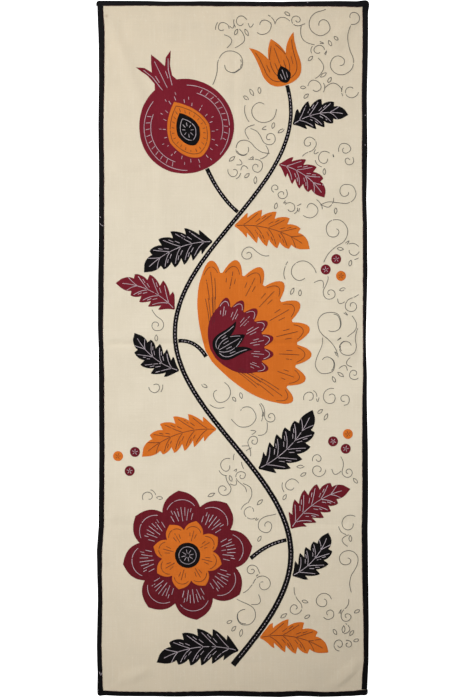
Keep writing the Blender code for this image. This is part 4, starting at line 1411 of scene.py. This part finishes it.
def bentPath(stops, steps):
    # one bend after another, each with its own middle stop
    path = [stops[0]]
    for k, count in enumerate(steps):
        path += along(lambda u: bent(*stops[2 * k:2 * k + 3], u), count)[1:]
    return path


def tulipLines(size):
    length, wide = size
    lines = [[(0.0, share * length) for share in tulipWork["rib"]]]
    for side in (1, -1):

        def at(stops):
            return [(side * x * wide / 2, y * length) for x, y in stops]

        lines += [bentPath(at(stops), steps) for stops, steps in tulipWork["bends"]]
        lines += [at(stops) for stops in tulipWork["strokes"]]
    return lines


def fruitLines():
    lines = []
    radius = fruit["radius"]
    gap = fruit["crownGap"]
    y0 = radius * (1.0 + math.cos(gap) * (1.0 + fruit["squash"] * math.cos(gap)))
    x0 = radius * math.sin(gap)
    for side in (-1, 1):

        def at(share, a):
            return side * share * radius * math.sin(a), radius * (1.0 + share * math.cos(a))

        for share, first, last in fruitWork["rings"]:
            ring = along(lambda u: at(share, first + (last - first) * u), fruitWork["ringSteps"])
            lines.append(ring)
        for k in range(fruitWork["rungs"]):
            rung = (fruitWork["rungFrom"], fruitWork["rungTo"])
            lines.append([at(share, a + fruitWork["rungStep"] * k) for share, a in rung])
        for stops in fruitWork["crown"]:
            lines.append([(side * x * x0, y0 + y * fruit["crownHigh"]) for x, y in stops])
    lines.append([(0.0, y0 + y * fruit["crownHigh"]) for y in fruitWork["crownRib"]])
    return lines


def scaledAbout(points, middleY, share):
    return [(x * share, middleY + (y - middleY) * share) for x, y in points]


def dropLines(size, ring, count, near, far):
    # a ring inside or outside a drop's rim, and spokes between two shares of its size
    outline = dropOutline(size)
    middleY = dropWork["middle"] * size[0]
    lines = [scaledAbout(outline + outline[:1], middleY, ring)] if ring else []
    points = walk(outline + outline[:1], dropWork["step"])
    for k in range(count):
        spoke = [points[round((k + 0.5) * (len(points) - 1) / count)]]
        lines.append(scaledAbout(spoke, middleY, near) + scaledAbout(spoke, middleY, far))
    return lines


def spokes(count, near, far):
    turns = [2.0 * math.pi * k / count for k in range(count)]
    return [[(r * math.sin(a), r * math.cos(a)) for r in (near, far)] for a in turns]


def workedLines():
    lines = []

    def add(slot, level, kind, paths, spot):
        for path in paths:
            row = {"thread": lineThreads[slot], "level": level, "kind": kind, "path": placed(path, *spot)}
            lines.append(row)

    for row in leafRows:
        add(row["slot"], 1, "stem", leafLines(row), leafSpot(row))
    heart = discOutline(rose["heartRing"], 24)
    middle = fan["middle"]
    rows = (
        ("maroon", 1, "stem", rosetteLines("outer", rose["ring"]["radius"]), "petals"),
        ("orange", 2, "stem", rosetteLines("ring", rose["heart"] + petalWork["heartGap"]), "ring"),
        ("black", 3, "fine", [heart + heart[:1]] + spokes(*rose["heartSpokes"]), "heartLines"),
        ("orange", 1, "stem",
         fanLines("outer", middle["radius"] + fanWork["outerGap"], math.radians(middle["spread"])), "fan"),
        ("maroon", 2, "fine", fanLines("middle", fan["cup"][0] + fanWork["middleGap"], math.pi), "middle"),
        ("black", 3, "fine", tulipLines(fan["cup"]), "cup"),
        ("maroon", 1, "stem", fruitLines(), "fruit"),
        ("maroon", 1, "stem", dropLines(fruit["flesh"], *dropWork["rays"]), "flesh"),
        ("maroon", 1, "stem", dropLines(fruit["flesh"], *dropWork["farRays"]), "flesh"),
        ("orange", 2, "stem", dropLines(fruit["flesh"], *dropWork["flesh"]), "flesh"),
        ("black", 3, "fine", dropLines(fruit["seed"], *dropWork["seed"]), "seed"),
        ("orange", 1, "stem", tulipLines(bud["size"]), "bud"),
        ("black", 2, "fine", cupLines, "budCup"),
    )
    for slot, level, kind, paths, spot in rows:
        add(slot, level, kind, paths, spots[spot])
    for row in berries:
        turn = berry["turnStep"] * row["x"]
        add(row["slot"], 1, "fine", spokes(*berry["spokes"]), (row["x"], row["y"], turn))
    inPlace = (0.0, 0.0, 0.0)
    add("black", 1, "running", [vinePath()[2:-2]], inPlace)
    for row in stalks:
        add("black", 1, "running", [stalkPath(row)[1:-1]], inPlace)
    return lines


# grey scrolls on the bare ground, close together on the right: curls with tails, crescents and pairs
scroll = {
    "sizes": (28.0, 23.0, 18.5, 15.0, 12.0),
    "tries": 900,
    "smallest": 16.0,  # scrolls under this size have no twin and no echo
    "seed": 12,
    "room": 1.14,  # bare ground wanted round a scroll, in its own radii
    "clear": 4.5,
    "placeEdge": 10.0,
    "lineEdge": 16.0,
    "lowest": -598.0,  # none is worked under this line
    "fillFrom": -40.0,  # places left of this are mostly plain, those right of fillTo are filled
    "fillTo": 60.0,
    "plainShare": 0.006,
    "leaves": 4,  # small open leaves on the outside of a tendril, at most
    "leafFrom": 60.0,
    "leafStep": 640.0,  # degrees between two leaves, over the radius of the tendril
    "leafLong": 14.0,
    "leafShrink": 0.12,
    "leafBulge": 5.6,
    "leafGap": 3.4,
    "leafClear": 2.2,
    "step": 2.0,
    "crowd": 1.1,
    "shortest": 4,  # a run of this many points or fewer isn't worked
    "joinReach": 84.0,
    "joinFrom": 1.12,
    "slack": 0.34,
    "wander": 1.5,  # how far the drawn line strays, and the size of the stray
    "wanderSize": 15.0,
}
# arcs: share of the size, first and last angle, and the share of its radius that the end keeps
curls = {
    "closed": (1.0, 0.0, 468.0, 0.18),
    "open": (1.0, -70.0, 235.0, 0.42),
    "rim": (1.16, 70.0, 130.0, 1.0),
    "upper": (0.62, 0.0, 421.2, 0.3),
    "lower": (0.44, 0.0, 374.4, 0.3),
    "wide": (1.0, 0.0, 351.0, 0.5),
    "echo": (0.66, 160.0, 270.0, 0.9),
}
curlTail = ((1.9, -1.9), (1.0, -1.3), (1.0, 0.0))
curlSteps = {"arc": 30, "tail": 10, "join": 12, "leaf": (8, 8)}
# places of the two curls of a pair, in shares of the size, and the turn of the lower one
curlPair = {"upper": 0.36, "pivot": -0.30, "aside": 0.10, "lower": -0.28, "turn": 20.0}


def arc(name, size, turned):
    share, first, last, squeeze = curls[name]

    def at(u):
        a = math.radians(first + (last - first) * u)
        r = share * size * (1.0 + (squeeze - 1.0) * u)
        return turned * r * math.cos(a), r * math.sin(a)

    return along(at, curlSteps["arc"])


def scrollFigure(kind, size, turned):
    # open and closed curls, some with a tail, an echo or a twin
    tail = [(turned * size * x, size * y) for x, y in along(lambda u: bent(*curlTail, u), curlSteps["tail"])]
    if kind == 0:
        return [tail + arc("closed", size, turned)[1:]]
    if kind == 1:
        return [arc("open", size, turned), arc("rim", size, turned)]
    if kind == 2:
        upper = placed(arc("upper", size, turned), 0.0, curlPair["upper"] * size, 0.0)
        lower = placed(arc("lower", size, turned), 0.0, curlPair["pivot"] * size, 180.0)
        aside = curlPair["aside"] * size * turned
        return [upper, placed(lower, aside, curlPair["lower"] * size, curlPair["turn"])]
    return [tail + arc("wide", size, turned)[1:], arc("echo", size, turned)]


def joiningLine(first, second, turned):
    # a slack line from the rim of one scroll to the rim of the next
    (x0, y0, size0), (x1, y1, size1) = first, second
    run = math.hypot(x1 - x0, y1 - y0)
    ux, uy = (x1 - x0) / run, (y1 - y0) / run
    join = scroll["joinFrom"]
    start = (x0 + ux * join * size0, y0 + uy * join * size0)
    end = (x1 - ux * join * size1, y1 - uy * join * size1)
    swing = scroll["slack"] * run * turned
    middle = ((start[0] + end[0]) / 2 - uy * swing, (start[1] + end[1]) / 2 + ux * swing)
    return along(lambda u: bent(start, middle, end, u), curlSteps["join"])


def smallLeaves(count, size, turned):
    # closed leaf outlines round a tendril, pointing outwards
    leaves = []
    half = scroll["leafBulge"]
    foot = (0.0, size + scroll["leafGap"])
    for i in range(count):
        turn = scroll["leafFrom"] + i * scroll["leafStep"] / size
        tip = (0.0, foot[1] + scroll["leafLong"] * (1.0 - scroll["leafShrink"] * abs(i - 1)))
        middle = (foot[1] + tip[1]) / 2
        path = bentPath((foot, (half, middle), tip, (-half, middle), foot), curlSteps["leaf"])
        leaves.append([(turned * x, y) for x, y in placed(path, 0.0, 0.0, turn)])
    return leaves


def strayed(path):
    # the lines were drawn freehand before they were worked
    return wandered(path, scroll["wanderSize"], scroll["wander"], 3.5)


def scrollPlaces(toRims):
    chance = random.Random(scroll["seed"])
    places = []
    for size in scroll["sizes"]:
        need = size * scroll["room"]
        for attempt in range(scroll["tries"]):
            x = chance.uniform(-panel["width"] / 2, panel["width"] / 2)
            y = chance.uniform(-panel["length"] / 2, panel["length"] / 2)
            filled = smooth((x - scroll["fillFrom"]) / (scroll["fillTo"] - scroll["fillFrom"]))
            if chance.random() > max(scroll["plainShare"], filled) or y - need < scroll["lowest"]:
                continue
            near = [math.hypot(x - px, y - py) < (size + other) * scroll["room"] for px, py, other in places]
            if any(near) or not isBare(toRims, x, y, need + scroll["clear"], need + scroll["placeEdge"]):
                continue
            places.append((x, y, size))
    return places


def insideOutline(outline, x, y):
    within = False
    for (x0, y0), (x1, y1) in zip(outline, outline[1:] + outline[:1]):
        if (y0 > y) != (y1 > y) and x < (x1 - x0) * (y - y0) / (y1 - y0) + x0:
            within = not within
    return within


def isBare(toRims, x, y, clear, edge):
    left, right, bottom, top = edgesAt(x, y)
    if min(x - left, right - x, y - bottom, top - y) < edge:
        return False
    for toRim, outline in toRims:
        if toRim(x, y) < clear or insideOutline(outline, x, y):
            return False
    return True


def bareStretches(path, toRims, others):
    # the parts of a line that lie on bare ground, away from the other scrolls
    runs = [[]]
    for x, y in walk(path, scroll["step"]):
        crowded = any(math.hypot(x - px, y - py) < scroll["crowd"] * size for px, py, size in others)
        if not crowded and isBare(toRims, x, y, scroll["clear"], scroll["lineEdge"]):
            runs[-1].append((x, y))
        elif runs[-1]:
            runs.append([])
    return [run for run in runs if len(run) > scroll["shortest"]]


def clearOfLines(leaves, runs):
    # the leaves that no worked line and no other leaf comes close to
    toLines = nearestOf([point for run in runs for point in run])
    kept = []
    middles = []
    for leafPath in leaves:
        middle = [sum(values) / len(leafPath) for values in zip(*leafPath)]
        if any(math.dist(middle, other) < scroll["leafLong"] for other in middles):
            continue
        if min(toLines(x, y) for x, y in leafPath) > scroll["leafClear"]:
            kept.append(leafPath)
            middles.append(middle)
    return kept


def workScrolls():
    toRims = [(rimFinder(row["outline"]), row["outline"]) for row in patchCuts if row["level"] == 1]
    places = scrollPlaces(toRims)
    runs = []
    leaves = []
    for k, (x, y, size) in enumerate(places):
        others = places[:k] + places[k + 1:]
        turned = hand.choice((-1, 1))
        turn = hand.uniform(0.0, 360.0)
        lines = scrollFigure(k % 4 if size > scroll["smallest"] else k % 2, size, turned)
        paths = [placed(path, x, y, turn) for path in lines]
        later = sorted((math.hypot(x - other[0], y - other[1]), other) for other in places[k + 1:])
        for away, other in later[:1 + k % 2]:
            if away < scroll["joinReach"]:
                paths.append(joiningLine((x, y, size), other, turned))
        for path in paths:
            runs += bareStretches(strayed(path), toRims, others)
        for outline in smallLeaves(hand.randint(0, scroll["leaves"]), size, turned):
            path = placed(outline, x, y, turn)
            if bareStretches(path, toRims, others) == [walk(path, scroll["step"])]:
                leaves.append(path)
    for path in runs + clearOfLines(leaves, runs):
        stitchLine("grey", path, 0, "scroll")
    print("Tendrils worked on the ground:", len(places))


def sewThreads():
    for row in patchCuts:
        slipStitches(row)
    hemStitches()
    tackingStitches()
    for line in workedLines():
        stitchLine(line["thread"], line["path"], line["level"], line["kind"])
    workScrolls()
    for name, pile in threads.items():
        newPiece(name + "_stitches", threadSlots.get(name, name), pile["points"], pile["faces"])
        print("Stitches in", name + ":", len(pile["points"]) // (stitch["sides"] * len(stitch["rings"])))


sewThreads()


# floor, light and camera

floorLook = {"size": 40.0, "depth": 0.0008, "colour": (0.86, 0.86, 0.86), "rough": 0.9, "glow": 0.9}
light = {
    "keyPlace": (-0.011, -0.100, 3.6), "keyAim": (-0.229, 0.126, 0.0), "keySize": 0.25, "keyPower": 488.0,
    "keyCone": 0.768, "keyFade": 1.0,
    "rakePlace": (-2.6, 2.2, 1.3), "rakeSize": 0.8, "rakePower": 45.0,
    "sky": 0.10,
}
view = {"x": 0.00015, "y": -0.0026, "distance": 3.0, "tall": 1.329, "sensor": 36.0}


def makeFloor():
    half = floorLook["size"] / 2
    mesh = bpy.data.meshes.new("floor")
    corners = [(-half, -half), (half, -half), (half, half), (-half, half)]
    mesh.from_pydata([(x, y, -floorLook["depth"]) for x, y in corners], [], [(0, 1, 2, 3)])
    floor = bpy.data.objects.new("floor", mesh)
    bpy.context.scene.collection.objects.link(floor)
    material = bpy.data.materials.new("palePaper")
    material.use_nodes = True
    surface = material.node_tree.nodes["Principled BSDF"]
    surface.inputs["Base Color"].default_value = (*floorLook["colour"], 1.0)
    surface.inputs["Roughness"].default_value = floorLook["rough"]
    surface.inputs["Emission Color"].default_value = (1.0, 1.0, 1.0, 1.0)
    surface.inputs["Emission Strength"].default_value = floorLook["glow"]
    mesh.materials.append(material)


def hangLamp(name, lamp, place, aim):
    holder = bpy.data.objects.new(name, lamp)
    holder.location = place
    holder.rotation_euler = (Vector(aim) - Vector(place)).to_track_quat("-Z", "Y").to_euler()
    bpy.context.scene.collection.objects.link(holder)


def makeLamps():
    # the key light fades towards the ends of the panel; a low light from the left shows the creases
    key = bpy.data.lights.new("keyLight", "SPOT")
    key.shadow_soft_size = light["keySize"]
    key.energy = light["keyPower"]
    key.spot_size = light["keyCone"]
    key.spot_blend = light["keyFade"]
    hangLamp("keyLight", key, light["keyPlace"], light["keyAim"])
    rake = bpy.data.lights.new("rakingLight", "AREA")
    rake.size = light["rakeSize"]
    rake.energy = light["rakePower"]
    hangLamp("rakingLight", rake, light["rakePlace"], (0.0, 0.0, 0.0))


def makeStudio():
    makeFloor()
    makeLamps()
    world = bpy.data.worlds.new("studio")
    world.use_nodes = True
    world.node_tree.nodes["Background"].inputs["Color"].default_value = (1.0, 1.0, 1.0, 1.0)
    world.node_tree.nodes["Background"].inputs["Strength"].default_value = light["sky"]
    bpy.context.scene.world = world
    camera = bpy.data.cameras.new("camera")
    camera.sensor_width = view["sensor"]
    camera.lens = view["sensor"] * view["distance"] / view["tall"]
    holder = bpy.data.objects.new("camera", camera)
    holder.location = (view["x"], view["y"], view["distance"])
    bpy.context.scene.collection.objects.link(holder)
    bpy.context.scene.camera = holder
    bpy.context.scene.view_settings.view_transform = "Standard"


makeStudio()
print("Studio set up")
